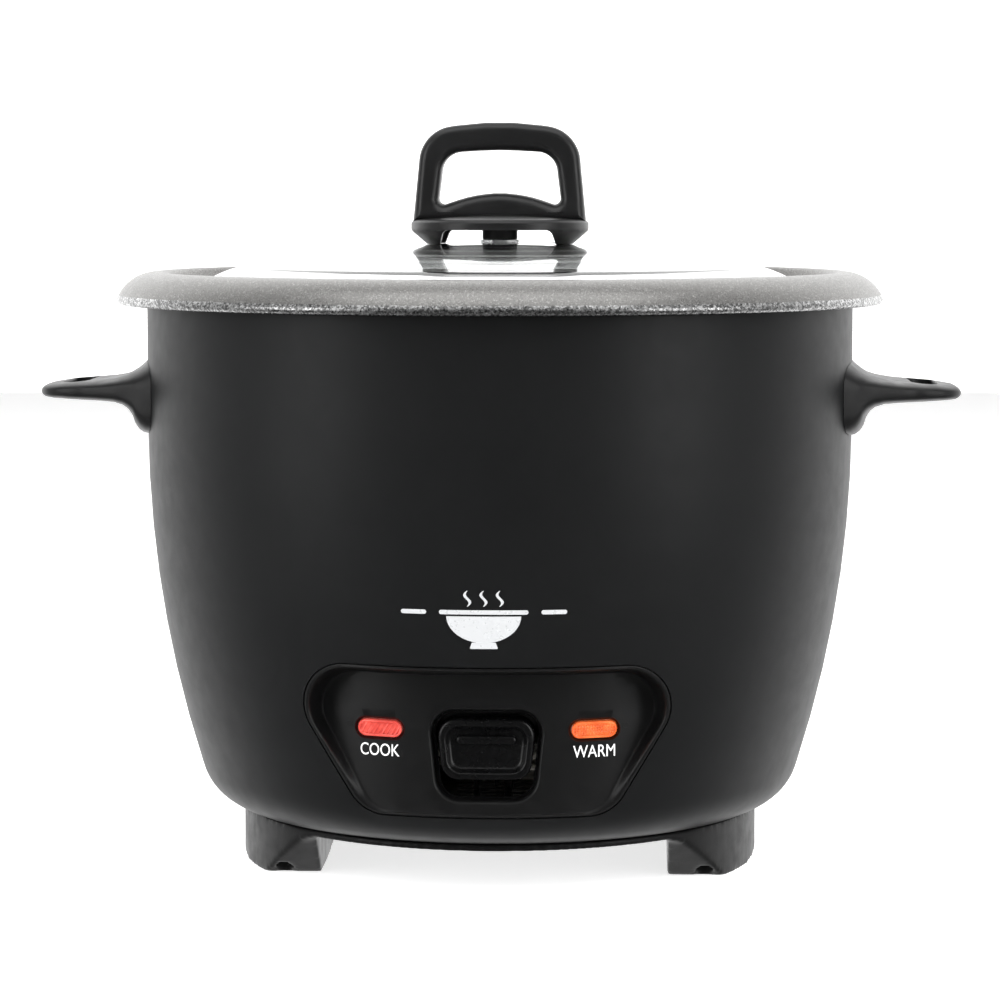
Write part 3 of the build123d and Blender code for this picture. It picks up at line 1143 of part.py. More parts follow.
# ================================================================ every sub-part
def all_parts():
    right = right_handle()
    return {
        "outer_shell": outer_shell(),
        "base": base(),
        "base_screws": base_screws(),
        "right_handle": right,
        "left_handle": mirror(right, Plane.YZ),
        "handle_screws": handle_screws(),
        "control_panel": control_panel(),
        "cook_lens": lens(-1),
        "warm_lens": lens(1),
        "cook_lamp": lamp(-1),
        "warm_lamp": lamp(1),
        "lamp_holders": [lamp_holder(-1), lamp_holder(1)],
        "switch_key": switch_key(),
        "lever_arm": lever_arm(),
        "lever_bracket": lever_bracket(),
        "lever_pivot_pin": lever_pivot_pin(),
        "microswitch_body": microswitch_body(),
        "microswitch_button": microswitch_button(),
        "heater_plate": heater_plate(),
        "heating_element": heating_element(),
        "heater_screws": heater_screws(),
        "heat_shield_pan": heat_shield_pan(),
        "sensor_cup": sensor_cup(),
        "ferrite": ferrite(),
        "thermostat_sleeve": thermostat_sleeve(),
        "cup_spring": cup_spring(),
        "plunger_rod": plunger_rod(),
        "magnet": magnet(),
        "plunger_spring": plunger_spring(),
        "warm_thermostat": warm_thermostat(),
        "thermal_fuse": thermal_fuse(),
        "fuse_clip": fuse_clip(),
        "terminal_block": terminal_block(),
        "appliance_inlet": appliance_inlet(),
        "inlet_pins": inlet_pins(),
        "inlet_screws": inlet_screws(),
        "inlet_wires": inlet_wires(),
        "heater_wires": heater_wires(),
        "lamp_wires": lamp_wires(),
        "inner_pot": inner_pot(),
        "glass_lid": glass_lid(),
        "lid_knob": lid_knob(),
        "knob_washer": knob_washer(),
        "knob_screw": knob_screw(),
        "vent_grommet": vent_grommet(),
    }


os.makedirs("parts", exist_ok=True)
for node, shape in all_parts().items():
    solids = shape if isinstance(shape, list) else [shape]
    whole = Compound(children=[part for piece in solids for part in piece.solids()])
    export_step(whole, "parts/" + node + ".step")
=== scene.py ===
import bpy
import bmesh
import math
from math import asin, atan2, cos, degrees, hypot, pi, radians, sin, sqrt, tan
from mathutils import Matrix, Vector
from mathutils.geometry import delaunay_2d_cdt


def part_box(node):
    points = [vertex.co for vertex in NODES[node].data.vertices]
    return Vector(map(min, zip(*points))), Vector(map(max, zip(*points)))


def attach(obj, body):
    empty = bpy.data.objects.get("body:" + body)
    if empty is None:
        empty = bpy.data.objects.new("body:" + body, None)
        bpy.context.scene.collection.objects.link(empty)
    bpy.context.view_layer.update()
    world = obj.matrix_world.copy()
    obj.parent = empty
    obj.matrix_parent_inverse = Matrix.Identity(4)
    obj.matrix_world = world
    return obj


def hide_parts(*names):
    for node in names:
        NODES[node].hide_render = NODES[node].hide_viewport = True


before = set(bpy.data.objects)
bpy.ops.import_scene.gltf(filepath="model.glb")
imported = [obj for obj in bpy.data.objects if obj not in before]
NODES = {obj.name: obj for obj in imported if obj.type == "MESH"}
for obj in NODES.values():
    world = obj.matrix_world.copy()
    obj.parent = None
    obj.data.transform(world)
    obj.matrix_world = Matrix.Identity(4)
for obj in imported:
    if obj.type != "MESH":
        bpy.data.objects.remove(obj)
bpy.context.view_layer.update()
MM = 0.001


# ------------------------------------------------------------------ sizes, in millimetres
def box_mm(node):
    low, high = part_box(node)
    return low / MM, high / MM


SHELL_LOW, SHELL_HIGH = box_mm("outer_shell")
POT_LOW, POT_HIGH = box_mm("inner_pot")
LID_HIGH = box_mm("glass_lid")[1]
KNOB_LOW, KNOB_HIGH = box_mm("lid_knob")
HANDLE_HIGH = box_mm("right_handle")[1]
KEY_LOW, KEY_HIGH = box_mm("switch_key")
LENS_LOW, LENS_HIGH = box_mm("warm_lens")
SHELL_R = SHELL_HIGH.x
SHELL_FLOOR = SHELL_LOW.z
SHELL_TOP = SHELL_HIGH.z
PANEL_R = -KEY_LOW.y           # cylinder of the panel's face
CREST = POT_HIGH.z
CROWN = LID_HIGH.z


# ------------------------------------------------------------------ outlines
def rounded(points, radii, step=8.0, closed=True):
    """Polyline through 2-D points with each corner rounded, in arc steps of some degrees."""
    out, count = [], len(points)
    for i, (corner, radius) in enumerate(zip(points, radii)):
        if radius <= 0 or (not closed and i in (0, count - 1)):
            out.append(tuple(corner))
            continue
        c = Vector(corner)
        a, b = Vector(points[i - 1]) - c, Vector(points[(i + 1) % count]) - c
        a.normalize()
        b.normalize()
        half = a.angle(b) / 2
        middle = c + (a + b).normalized() * (radius / sin(half))
        start, end = c + a * (radius / tan(half)), c + b * (radius / tan(half))
        s, e = start - middle, end - middle
        t0 = atan2(s.y, s.x)
        turn = (atan2(e.y, e.x) - t0 + pi) % (2 * pi) - pi
        steps = max(2, int(round(abs(degrees(turn)) / step)))
        for k in range(steps + 1):
            t = t0 + turn * k / steps
            out.append((middle.x + radius * cos(t), middle.y + radius * sin(t)))
    return out


def divided(loop, length, closed=True):
    """The same line with its long runs cut into pieces no longer than a length."""
    out, count = [], len(loop)
    for i in range(count if closed else count - 1):
        a, b = Vector(loop[i]), Vector(loop[(i + 1) % count])
        pieces = max(1, math.ceil((b - a).length / length))
        out += [tuple(a.lerp(b, k / pieces)) for k in range(pieces)]
    return out if closed else out + [tuple(loop[-1])]


def inset(loop, distance):
    """A closed loop moved in by a distance (out if negative), point for point."""
    count = len(loop)
    area = sum(loop[i - 1][0] * loop[i][1] - loop[i][0] * loop[i - 1][1] for i in range(count))
    sign = 1 if area > 0 else -1
    out = []
    for i in range(count):
        p, q, r = Vector(loop[i - 1]), Vector(loop[i]), Vector(loop[(i + 1) % count])
        u, v = (q - p).normalized(), (r - q).normalized()
        n = Vector((-u.y - v.y, u.x + v.x)) * sign
        n = n / max(0.3, n.length_squared / 2)
        out.append((q.x + n.x * distance, q.y + n.y * distance))
    return out


def trapezoid(half_top, half_bottom, top, bottom):
    return [(-half_bottom, bottom), (-half_top, top), (half_top, top), (half_bottom, bottom)]


def inset_trapezoid(half_top, half_bottom, top, bottom, side, over, under):
    """Trapezoid moved in by its own distance at the sides, the top and the bottom."""
    lean = (half_top - half_bottom) / (top - bottom)
    shift = side * sqrt(1 + lean * lean)
    return trapezoid(half_top - shift - lean * over, half_bottom - shift + lean * under,
                     top - over, bottom + under)


def obround(length, height, step=15.0):
    h = height / 2
    corners = [(-length / 2, -h), (-length / 2, h), (length / 2, h), (length / 2, -h)]
    return rounded(corners, [h * 0.999] * 4, step)


def upright_slot(width, height):
    return [(v, u) for u, v in obround(height, width)]


def moved(loop, du, dv):
    return [(u + du, v + dv) for u, v in loop]


def inside(point, loop):
    u, v = point
    hit = False
    for i in range(len(loop)):
        (a, b), (c, d) = loop[i - 1], loop[i]
        if (b > v) != (d > v) and u < (c - a) * (v - b) / (d - b) + a:
            hit = not hit
    return hit


# ------------------------------------------------------------------ meshes
def to_object(bm, name, body, material, replaces=(), sharp=35.0, weld=True):
    """Finishes a mesh in millimetres as one piece of the visual model."""
    if weld:
        bmesh.ops.remove_doubles(bm, verts=bm.verts, dist=1e-4)
    bmesh.ops.delete(bm, geom=[e for e in bm.edges if e.is_wire], context="EDGES")
    open_edges = [e for e in bm.edges if e.is_boundary]
    if open_edges:
        bmesh.ops.holes_fill(bm, edges=open_edges, sides=0)
    bmesh.ops.recalc_face_normals(bm, faces=bm.faces)
    bmesh.ops.scale(bm, vec=(MM, MM, MM), verts=bm.verts)
    mesh = bpy.data.meshes.new(name)
    bm.to_mesh(mesh)
    bm.free()
    mesh.polygons.foreach_set("use_smooth", [True] * len(mesh.polygons))
    mesh.set_sharp_from_angle(angle=radians(sharp))
    piece = bpy.data.objects.new(name, mesh)
    bpy.context.scene.collection.objects.link(piece)
    for m in material if isinstance(material, (list, tuple)) else [material]:
        mesh.materials.append(m)
    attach(piece, body)
    if replaces:
        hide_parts(*replaces)
    return piece


def fill(bm, loops, rings, spacing, place, w):
    """Triangles between an outer loop and its holes, with points inside it every few millimetres."""
    points, edges, owners = [], [], []
    for loop, ring in zip(loops, rings):
        start = len(points)
        points += [Vector(p) for p in loop]
        owners += ring
        edges += [(start + i, start + (i + 1) % len(loop)) for i in range(len(loop))]
    near = len(points)
    us, vs = [p[0] for p in loops[0]], [p[1] for p in loops[0]]
    row, v = 0, min(vs) + spacing / 2
    clear = (0.55 * spacing) ** 2
    while v < max(vs):
        u = min(us) + (0.5 if row % 2 else 1.0) * spacing
        while u < max(us):
            if inside((u, v), loops[0]) and not any(inside((u, v), hole) for hole in loops[1:]):
                if all((p.x - u) ** 2 + (p.y - v) ** 2 > clear for p in points[:near]):
                    points.append(Vector((u, v)))
            u += spacing
        row, v = row + 1, v + spacing * 0.87
    centre = Vector(((max(us) + min(us)) / 2, (max(vs) + min(vs)) / 2))
    bow = 0.004 / max((Vector(p) - centre).length_squared for p in loops[0])

    def bowed(p):
        """Straight runs bent out a hair, so that no triangle lies along one."""
        d = Vector(p) - centre
        return centre + d * (1 - bow * d.length_squared)

    bent = [[bowed(p) for p in loop] for loop in loops]
    verts, _, faces, origins, _, _ = delaunay_2d_cdt([bowed(p) for p in points], edges, [], 0, 1e-7)
    made = []
    for p, source in zip(verts, origins):
        known = [owners[i] for i in source if i < near]
        p = points[source[0]] if source else p
        depth = w(p.x, p.y) if callable(w) else w
        made.append(known[0] if known else bm.verts.new(place(p.x, p.y, depth)))
    for face in faces:
        middle = sum((verts[i] for i in face), Vector((0, 0))) / len(face)
        if inside(middle, bent[0]) and not any(inside(middle, hole) for hole in bent[1:]):
            corners = [made[i] for i in face]
            if len(set(corners)) == len(corners):
                try:
                    bm.faces.new(corners)
                except ValueError:
                    pass
    for v in made:
        if v.is_valid and not v.link_faces and v not in owners[:near]:
            bm.verts.remove(v)


def solid(bm, place, outer, holes=(), spacing=3.0, ends=(True, True)):
    """Closed solid from rings of (loop, depth), first to last, with a cap at each end and holes."""
    chains = []
    for rings in (outer, *holes):
        made = []
        for loop, w in rings:
            made.append([bm.verts.new(place(u, v, w(u, v) if callable(w) else w)) for u, v in loop])
        for a, b in zip(made, made[1:]):
            for i in range(len(a)):
                bm.faces.new((a[i - 1], a[i], b[i], b[i - 1]))
        chains.append(made)
    for end, wanted in zip((0, -1), ends):
        if wanted:
            loops = [rings[end][0] for rings in (outer, *holes)]
            fill(bm, loops, [made[end] for made in chains], spacing, place, outer[end][1])


def lathe(bm, profile, segments=192, closed=True, centre=(0, 0)):
    """Turns an (r, z) line about the upright axis; points on the axis become one vertex."""
    rings = []
    for r, z in profile:
        if r < 1e-6:
            rings.append([bm.verts.new((centre[0], centre[1], z))])
        else:
            turns = [2 * pi * k / segments for k in range(segments)]
            rings.append([bm.verts.new((centre[0] + r * sin(t), centre[1] - r * cos(t), z)) for t in turns])
    pairs = list(zip(rings, rings[1:]))
    if closed and len(rings[-1]) > 1 and len(rings[0]) > 1:
        pairs.append((rings[-1], rings[0]))
    for a, b in pairs:
        for k in range(segments):
            n = (k + 1) % segments
            if len(a) == 1 and len(b) == 1:
                continue
            if len(a) == 1:
                bm.faces.new((a[0], b[k], b[n]))
            elif len(b) == 1:
                bm.faces.new((a[k], a[n], b[0]))
            else:
                bm.faces.new((a[k], a[n], b[n], b[k]))


def parallel(points, distance):
    """An open line moved to its right."""
    out = []
    for i, p in enumerate(points):
        a, b = Vector(points[max(0, i - 1)]), Vector(points[min(len(points) - 1, i + 1)])
        d = (b - a).normalized()
        out.append((p[0] + d.y * distance, p[1] - d.x * distance))
    return out


def front(u, v, w):
    """(across, height, distance from the axis) on a cylinder about the axis, at the front."""
    return (u, -sqrt(max(w * w - u * u, 1.0)), v)


# ------------------------------------------------------------------ materials
def new_material(name, color, rough, metallic=0.0, specular=0.5, transmission=0.0, ior=None,
                 coat=0.0, coat_rough=0.1):
    """A shader with its constant values on its own sockets; detail is added by the functions below."""
    m = bpy.data.materials.new(name)
    m.use_nodes = True
    b = m.node_tree.nodes["Principled BSDF"]
    b.inputs["Base Color"].default_value = (*color, 1)
    b.inputs["Roughness"].default_value = rough
    b.inputs["Metallic"].default_value = metallic
    b.inputs["Specular IOR Level"].default_value = specular
    b.inputs["Transmission Weight"].default_value = transmission
    if ior:
        b.inputs["IOR"].default_value = ior
    b.inputs["Coat Weight"].default_value = coat
    b.inputs["Coat Roughness"].default_value = coat_rough
    return m


def node(m, kind, **inputs):
    n = m.node_tree.nodes.new(kind)
    for k, v in inputs.items():
        n.inputs[k.replace("_", " ")].default_value = v
    return n


def link(m, a, output, b, input_name):
    m.node_tree.links.new(a.outputs[output], b.inputs[input_name])


def coordinates(m):
    for n in m.node_tree.nodes:
        if n.bl_idname == "ShaderNodeTexCoord":
            return n
    return m.node_tree.nodes.new("ShaderNodeTexCoord")


def noise(m, scale, detail=3.0, rough=0.55, stretch=None):
    n = node(m, "ShaderNodeTexNoise", Scale=scale, Detail=detail, Roughness=rough)
    if stretch:
        mapping = m.node_tree.nodes.new("ShaderNodeMapping")
        mapping.inputs["Scale"].default_value = stretch
        link(m, coordinates(m), "Object", mapping, "Vector")
        link(m, mapping, "Vector", n, "Vector")
    else:
        link(m, coordinates(m), "Object", n, "Vector")
    return n


def ramp(m, source, output, stops):
    r = m.node_tree.nodes.new("ShaderNodeValToRGB")
    while len(r.color_ramp.elements) < len(stops):
        r.color_ramp.elements.new(0.5)
    for e, (place, value) in zip(r.color_ramp.elements, stops):
        e.position = place
        e.color = (*value, 1) if isinstance(value, (tuple, list)) else (value, value, value, 1)
    link(m, source, output, r, "Fac")
    return r


def vary_color(m, source, output, low, high, stops=(0.3, 0.7)):
    r = ramp(m, source, output, [(stops[0], low), (stops[1], high)])
    link(m, r, "Color", m.node_tree.nodes["Principled BSDF"], "Base Color")
    return r


def vary_rough(m, source, output, low, high, stops=(0.3, 0.7)):
    r = ramp(m, source, output, [(stops[0], low), (stops[1], high)])
    link(m, r, "Color", m.node_tree.nodes["Principled BSDF"], "Roughness")
    return r


def bump(m, source, output, strength, distance):
    """Adds a bump; several are chained."""
    b = m.node_tree.nodes["Principled BSDF"]
    n = node(m, "ShaderNodeBump", Strength=strength, Distance=distance)
    link(m, source, output, n, "Height")
    if b.inputs["Normal"].is_linked:
        m.node_tree.links.new(b.inputs["Normal"].links[0].from_socket, n.inputs["Normal"])
    link(m, n, "Normal", b, "Normal")
    return n


def plastic(name, low, high, rough, grain, grain_scale=2600.0, specular=0.5, spread=0.06):
    m = new_material(name, low, rough, specular=specular)
    broad = noise(m, 28.0, 4.0)
    vary_color(m, broad, "Fac", low, high)
    vary_rough(m, noise(m, 160.0, 3.0), "Fac", rough - spread, rough + spread)
    bump(m, noise(m, grain_scale, 2.0), "Fac", grain, 0.00012)
    return m


def metal(name, low, high, rough, scale=90.0, stretch=None, grain=0.12, grain_scale=1800.0, spread=0.08):
    m = new_material(name, low, rough, metallic=1.0)
    vary_color(m, noise(m, scale, 4.0, stretch=stretch), "Fac", low, high)
    vary_rough(m, noise(m, scale * 2.3, 3.0, stretch=stretch), "Fac", rough - spread, rough + spread)
    bump(m, noise(m, grain_scale, 2.0, stretch=stretch), "Fac", grain, 0.0001)
    return m


def black_paint():
    """Matte stoved paint over pressed steel: faint orange peel and a very fine tooth."""
    m = plastic("shell_paint", (0.0052, 0.0055, 0.0059), (0.0060, 0.0063, 0.0067), 0.44, 0.1, 3200.0,
                specular=0.36, spread=0.025)
    bump(m, noise(m, 320.0, 2.0), "Fac", 0.02, 0.0002)
    return m


def speckled_coating():
    """Grey non-stick coating with bright and dark metallic flecks."""
    m = new_material("nonstick", (0.26, 0.255, 0.25), 0.32, metallic=0.8)
    flecks = node(m, "ShaderNodeTexVoronoi", Scale=3000.0)
    link(m, coordinates(m), "Object", flecks, "Vector")
    split = m.node_tree.nodes.new("ShaderNodeSeparateColor")
    link(m, flecks, "Color", split, "Color")
    vary = ramp(m, split, "Red", [(0.0, (0.235, 0.23, 0.224)), (0.3, (0.275, 0.27, 0.263)),
                                  (0.88, (0.305, 0.3, 0.292)), (0.98, (0.5, 0.495, 0.485))])
    link(m, vary, "Color", m.node_tree.nodes["Principled BSDF"], "Base Color")
    vary_rough(m, split, "Green", 0.26, 0.42, (0.1, 0.9))
    bump(m, split, "Blue", 0.06, 0.00006)
    bump(m, noise(m, 90.0, 2.0), "Fac", 0.01, 0.0002)
    return m


def bare_band():
    """Bare blasted aluminium at the curl of the rim, which sparkles."""
    m = new_material("bare_edge", (0.5, 0.5, 0.5), 0.3, metallic=1.0)
    grains = node(m, "ShaderNodeTexVoronoi", Scale=1700.0)
    link(m, coordinates(m), "Object", grains, "Vector")
    split = m.node_tree.nodes.new("ShaderNodeSeparateColor")
    link(m, grains, "Color", split, "Color")
    shade = ramp(m, split, "Red", [(0.0, 0.16), (0.45, 0.42), (0.8, 0.8), (1.0, 0.95)])
    link(m, shade, "Color", m.node_tree.nodes["Principled BSDF"], "Base Color")
    vary_rough(m, split, "Green", 0.2, 0.45, (0.1, 0.9))
    bump(m, split, "Blue", 0.5, 0.0002)
    return m


def clear_glass():
    m = new_material("lid_glass", (0.97, 0.985, 0.98), 0.0, transmission=1.0, ior=1.5)
    smears = noise(m, 16.0, 5.0)
    vary_rough(m, smears, "Fac", 0.0, 0.035, (0.45, 0.8))
    bump(m, noise(m, 22.0, 2.0), "Fac", 0.02, 0.0006)
    return m


def lens_plastic_with_painted_glow(name, deep, light):
    m = new_material(name, deep, 0.16, transmission=0.25, ior=1.49, coat=0.3, coat_rough=0.05)
    vary_color(m, noise(m, 260.0, 3.0), "Fac", deep, light)
    b = m.node_tree.nodes["Principled BSDF"]
    # Painted glow: the lens gives off a little light in its pale colour, though no lamp behind it is lit
    b.inputs["Emission Color"].default_value = (*light, 1)
    b.inputs["Emission Strength"].default_value = 0.12
    return m


def print_ink(name, color, metallic, rough):
    m = new_material(name, color, rough, metallic=metallic)
    vary_rough(m, noise(m, 700.0, 2.0), "Fac", rough - 0.05, rough + 0.08)
    bump(m, noise(m, 4200.0, 2.0), "Fac", 0.15, 0.00005)
    return m


PAINT = black_paint()
PLASTIC = plastic("black_plastic", (0.0062, 0.0062, 0.0065), (0.0085, 0.0085, 0.0088),
                  0.38, 0.25, 2400.0, 0.45)
BASE_PLASTIC = plastic("base_plastic", (0.0040, 0.0040, 0.0042), (0.0056, 0.0056, 0.0058),
                       0.42, 0.25, 2400.0, 0.35)
KNOB_PLASTIC = plastic("knob_plastic", (0.0075, 0.0075, 0.0078), (0.0105, 0.0105, 0.011),
                       0.34, 0.3, 2400.0, 0.6)
PANEL_PLASTIC = plastic("panel_plastic", (0.0036, 0.0036, 0.0038), (0.0048, 0.0048, 0.005),
                        0.4, 0.2, 2600.0, 0.55)
KEY_PLASTIC = plastic("key_plastic", (0.0018, 0.0018, 0.002), (0.0028, 0.0028, 0.003),
                      0.27, 0.05, 3000.0, 0.6, 0.03)
WHITE_PLASTIC = plastic("white_plastic", (0.70, 0.68, 0.62), (0.76, 0.74, 0.68), 0.5, 0.1)
NONSTICK = speckled_coating()
BARE_EDGE = bare_band()
GLASS = clear_glass()
RED = lens_plastic_with_painted_glow("red_lens", (0.50, 0.035, 0.028), (0.82, 0.13, 0.10))
ORANGE = lens_plastic_with_painted_glow("orange_lens", (0.62, 0.085, 0.02), (0.92, 0.21, 0.055))
WHITE_INK = print_ink("white_ink", (0.82, 0.82, 0.82), 0.0, 0.45)
SILVER_INK = print_ink("silver_ink", (0.58, 0.59, 0.60), 0.25, 0.3)
ZINC = metal("zinc_steel", (0.50, 0.51, 0.52), (0.64, 0.65, 0.66), 0.3)
POLISHED = metal("polished_steel", (0.62, 0.62, 0.62), (0.72, 0.72, 0.72), 0.16, spread=0.05)
SHEATH = metal("sheath_steel", (0.22, 0.20, 0.17), (0.36, 0.34, 0.31), 0.42)
SPRING = metal("spring_steel", (0.42, 0.42, 0.43), (0.55, 0.55, 0.56), 0.28)
ALUMINISED = metal("aluminised_steel", (0.50, 0.50, 0.51), (0.66, 0.66, 0.67), 0.36, 60.0)
CAST = metal("cast_aluminium", (0.50, 0.50, 0.51), (0.62, 0.62, 0.63), 0.4, 70.0,
             grain=0.3, grain_scale=900.0)
ALUMINIUM = metal("bare_aluminium", (0.66, 0.66, 0.67), (0.76, 0.76, 0.77), 0.3, 120.0)
FERRITE = plastic("ferrite", (0.035, 0.035, 0.036), (0.06, 0.06, 0.062), 0.55, 0.4, 1500.0)
CERAMIC = plastic("white_ceramic", (0.74, 0.72, 0.66), (0.82, 0.80, 0.75), 0.6, 0.2)
BRASS = metal("brass", (0.60, 0.43, 0.17), (0.74, 0.56, 0.27), 0.28)
WIRE = plastic("wire_insulation", (0.58, 0.55, 0.48), (0.72, 0.69, 0.62), 0.6, 0.6, 1500.0)
RUBBER = new_material("clear_rubber", (0.85, 0.86, 0.86), 0.3, transmission=0.7, ior=1.42)
vary_rough(RUBBER, noise(RUBBER, 400.0), "Fac", 0.22, 0.4)
LAMP_GLASS = new_material("lamp_glass", (0.93, 0.9, 0.86), 0.05, transmission=0.9, ior=1.5)
vary_rough(LAMP_GLASS, noise(LAMP_GLASS, 300.0), "Fac", 0.02, 0.12)

CARRIED = {
    "base_screws": ZINC, "handle_screws": ZINC, "cook_lamp": LAMP_GLASS, "warm_lamp": LAMP_GLASS,
    "lamp_holders": WHITE_PLASTIC, "lever_arm": ZINC, "lever_bracket": ZINC, "lever_pivot_pin": ZINC,
    "microswitch_body": PLASTIC, "microswitch_button": WHITE_PLASTIC, "heater_plate": CAST,
    "heating_element": SHEATH, "heater_screws": ZINC, "heat_shield_pan": ALUMINISED, "sensor_cup": ALUMINIUM,
    "ferrite": FERRITE, "thermostat_sleeve": ALUMINISED, "cup_spring": SPRING, "plunger_rod": ZINC,
    "magnet": FERRITE, "plunger_spring": SPRING, "warm_thermostat": PLASTIC, "thermal_fuse": ALUMINIUM,
    "fuse_clip": ZINC, "terminal_block": CERAMIC, "appliance_inlet": PLASTIC, "inlet_pins": BRASS,
    "inlet_screws": ZINC, "inlet_wires": WIRE, "heater_wires": WIRE, "lamp_wires": WIRE,
    "knob_washer": RUBBER, "knob_screw": ZINC, "vent_grommet": POLISHED,
}
for name, material in CARRIED.items():
    mesh = NODES[name].data
    mesh.materials.clear()
    mesh.materials.append(material)


# ------------------------------------------------------------------ outer shell
KNEE = 76.5                    # height over the shell's floor where its wall starts to lean in
LEAN = radians(17.3)
SWEEP_RADIUS, FOOT_RADIUS = 415.0, 20.0
SHEET = 1.0                    # thickness of the steel
SKIN = rounded([(SHELL_R - 5.0, SHELL_TOP), (SHELL_R, SHELL_TOP), (SHELL_R, SHELL_FLOOR + KNEE),
                (SHELL_R - KNEE * tan(LEAN), SHELL_FLOOR), (SHELL_R - 42.0, SHELL_FLOOR)],
               [0, 2.0, SWEEP_RADIUS, FOOT_RADIUS, 0], step=2.5, closed=False)
SKIN = divided(SKIN, 7.0, closed=False)
RUN = [0.0]                    # distance along the skin at each of its points
for a, b in zip(SKIN, SKIN[1:]):
    RUN.append(RUN[-1] + hypot(b[0] - a[0], b[1] - a[1]))


def skin_at_height(z):
    """(radius, distance along the skin) where the wall passes a height."""
    for (r0, z0), (r1, z1), s in zip(SKIN[1:], SKIN[2:], RUN[1:]):
        if z0 >= z >= z1 and z0 > z1:
            t = (z0 - z) / (z0 - z1)
            return r0 + (r1 - r0) * t, s + hypot(r1 - r0, z1 - z0) * t
    return SKIN[-1][0], RUN[-1]


def skin_radius(z):
    return skin_at_height(z)[0]


def skin_point(s, skin):
    """(radius, height) on a skin at a distance along it."""
    for k in range(len(RUN) - 1):
        if s <= RUN[k + 1] or k == len(RUN) - 2:
            t = (s - RUN[k]) / (RUN[k + 1] - RUN[k])
            return [skin[k][i] + (skin[k + 1][i] - skin[k][i]) * t for i in (0, 1)]


PANEL_TOP, PANEL_BOTTOM = 86.0, 31.8
PANEL_HALF_TOP, PANEL_HALF_BOTTOM = 75.0, 43.0
PANEL_RADII = [14.0, 15.5, 15.5, 14.0]


PANEL_SHAPE = (PANEL_HALF_TOP, PANEL_HALF_BOTTOM, PANEL_TOP, PANEL_BOTTOM)


def panel_loop(grow, step=6.0):
    """Panel's outline, moved out all round by a distance."""
    return rounded(inset_trapezoid(*PANEL_SHAPE, -grow, -grow, -grow), [r + grow for r in PANEL_RADII], step)


def alike(loops, length):
    """Loops with the same number of points, their long runs all divided as the first one's are."""
    first, count = loops[0], len(loops[0])
    pieces = [max(1, math.ceil((Vector(first[(i + 1) % count]) - Vector(first[i])).length / length))
              for i in range(count)]
    out = []
    for loop in loops:
        made = []
        for i in range(count):
            a, b = Vector(loop[i]), Vector(loop[(i + 1) % count])
            made += [tuple(a.lerp(b, k / pieces[i])) for k in range(pieces[i])]
        out.append(made)
    return out


def outer_shell():
    """Pressed shell: both skins turned, with a patch of triangles round the panel's hole."""
    columns, unit = 192, 120.0          # the patch is laid out flat, with its angles on this radius
    middle, half_patch = columns // 2, 26
    left, right = middle - half_patch, middle + half_patch
    rows = [k for k, (r, z) in enumerate(SKIN) if PANEL_BOTTOM - 7.8 <= z <= PANEL_TOP + 10.0]
    low_row, high_row = rows[-1], rows[0]
    hole = alike([panel_loop(0.1)], 3.0)[0]
    bm = bmesh.new()
    rims, grids = [], []
    for skin in (SKIN, parallel(SKIN, SHEET)):
        grid = []
        for r, z in skin:
            turns = [2 * pi * (k - middle) / columns for k in range(columns)]
            grid.append([bm.verts.new((r * sin(t), -r * cos(t), z)) for t in turns])
        grids.append(grid)
        for i in range(len(skin) - 1):
            for k in range(columns):
                if high_row <= i < low_row and left <= k < right:
                    continue
                n = (k + 1) % columns
                bm.faces.new((grid[i][k], grid[i][n], grid[i + 1][n], grid[i + 1][k]))
        ring, loop = [], []
        border = [(high_row, k) for k in range(left, right)] + [(i, right) for i in range(high_row, low_row)]
        border += [(low_row, k) for k in range(right, left, -1)]
        border += [(i, left) for i in range(low_row, high_row, -1)]
        for i, k in border:
            ring.append(grid[i][k])
            loop.append((2 * pi * (k - middle) / columns * unit, RUN[i]))

        def place(u, v, w, skin=skin):
            r, z = skin_point(v, skin)
            return (r * sin(u / unit), -r * cos(u / unit), z)

        flat = []
        for x, z in hole:
            r, s = skin_at_height(z)
            flat.append((asin(x / r) * unit, s))
        rim = [bm.verts.new(place(u, v, 0)) for u, v in flat]
        rims.append(rim)
        fill(bm, [loop, flat], [ring, rim], 3.2, place, 0)
    for i in range(len(hole)):
        bm.faces.new((rims[0][i - 1], rims[0][i], rims[1][i], rims[1][i - 1]))
    for end in (0, -1):
        for k in range(columns):
            n = (k + 1) % columns
            bm.faces.new((grids[0][end][k], grids[0][end][n], grids[1][end][n], grids[1][end][k]))
    return to_object(bm, "shell_drum", "cooker", PAINT, ["outer_shell"])


outer_shell()


# ------------------------------------------------------------------ control panel
LENS_X = 36.9                  # centre of each lens from the middle
LENS_Z = (LENS_LOW.z + LENS_HIGH.z) / 2
LENS_SIZE = (15.6, 5.8)
KEY_TOP, KEY_BOTTOM = KEY_HIGH.z, KEY_LOW.z
KEY_HALF_TOP, KEY_HALF_BOTTOM = 17.2, 15.0
KEY_SHAPE = (KEY_HALF_TOP, KEY_HALF_BOTTOM, KEY_TOP, KEY_BOTTOM)
KEY_DEPTH, WELL_DEPTH, PANEL_SHEET = 10.0, 9.0, 2.0


def key_loop(side, over, under, radius, step=8.0):
    """Key's outline, moved in at the sides, the top and the bottom."""
    return rounded(inset_trapezoid(*KEY_SHAPE, side, over, under), [radius] * 4, step)


def lens_loop(side, inwards):
    """Outline of the left (-1) or right (1) lens, moved in by a distance."""
    length, height = (size - 2 * inwards for size in LENS_SIZE)
    return moved(obround(length, height), side * LENS_X, LENS_Z)


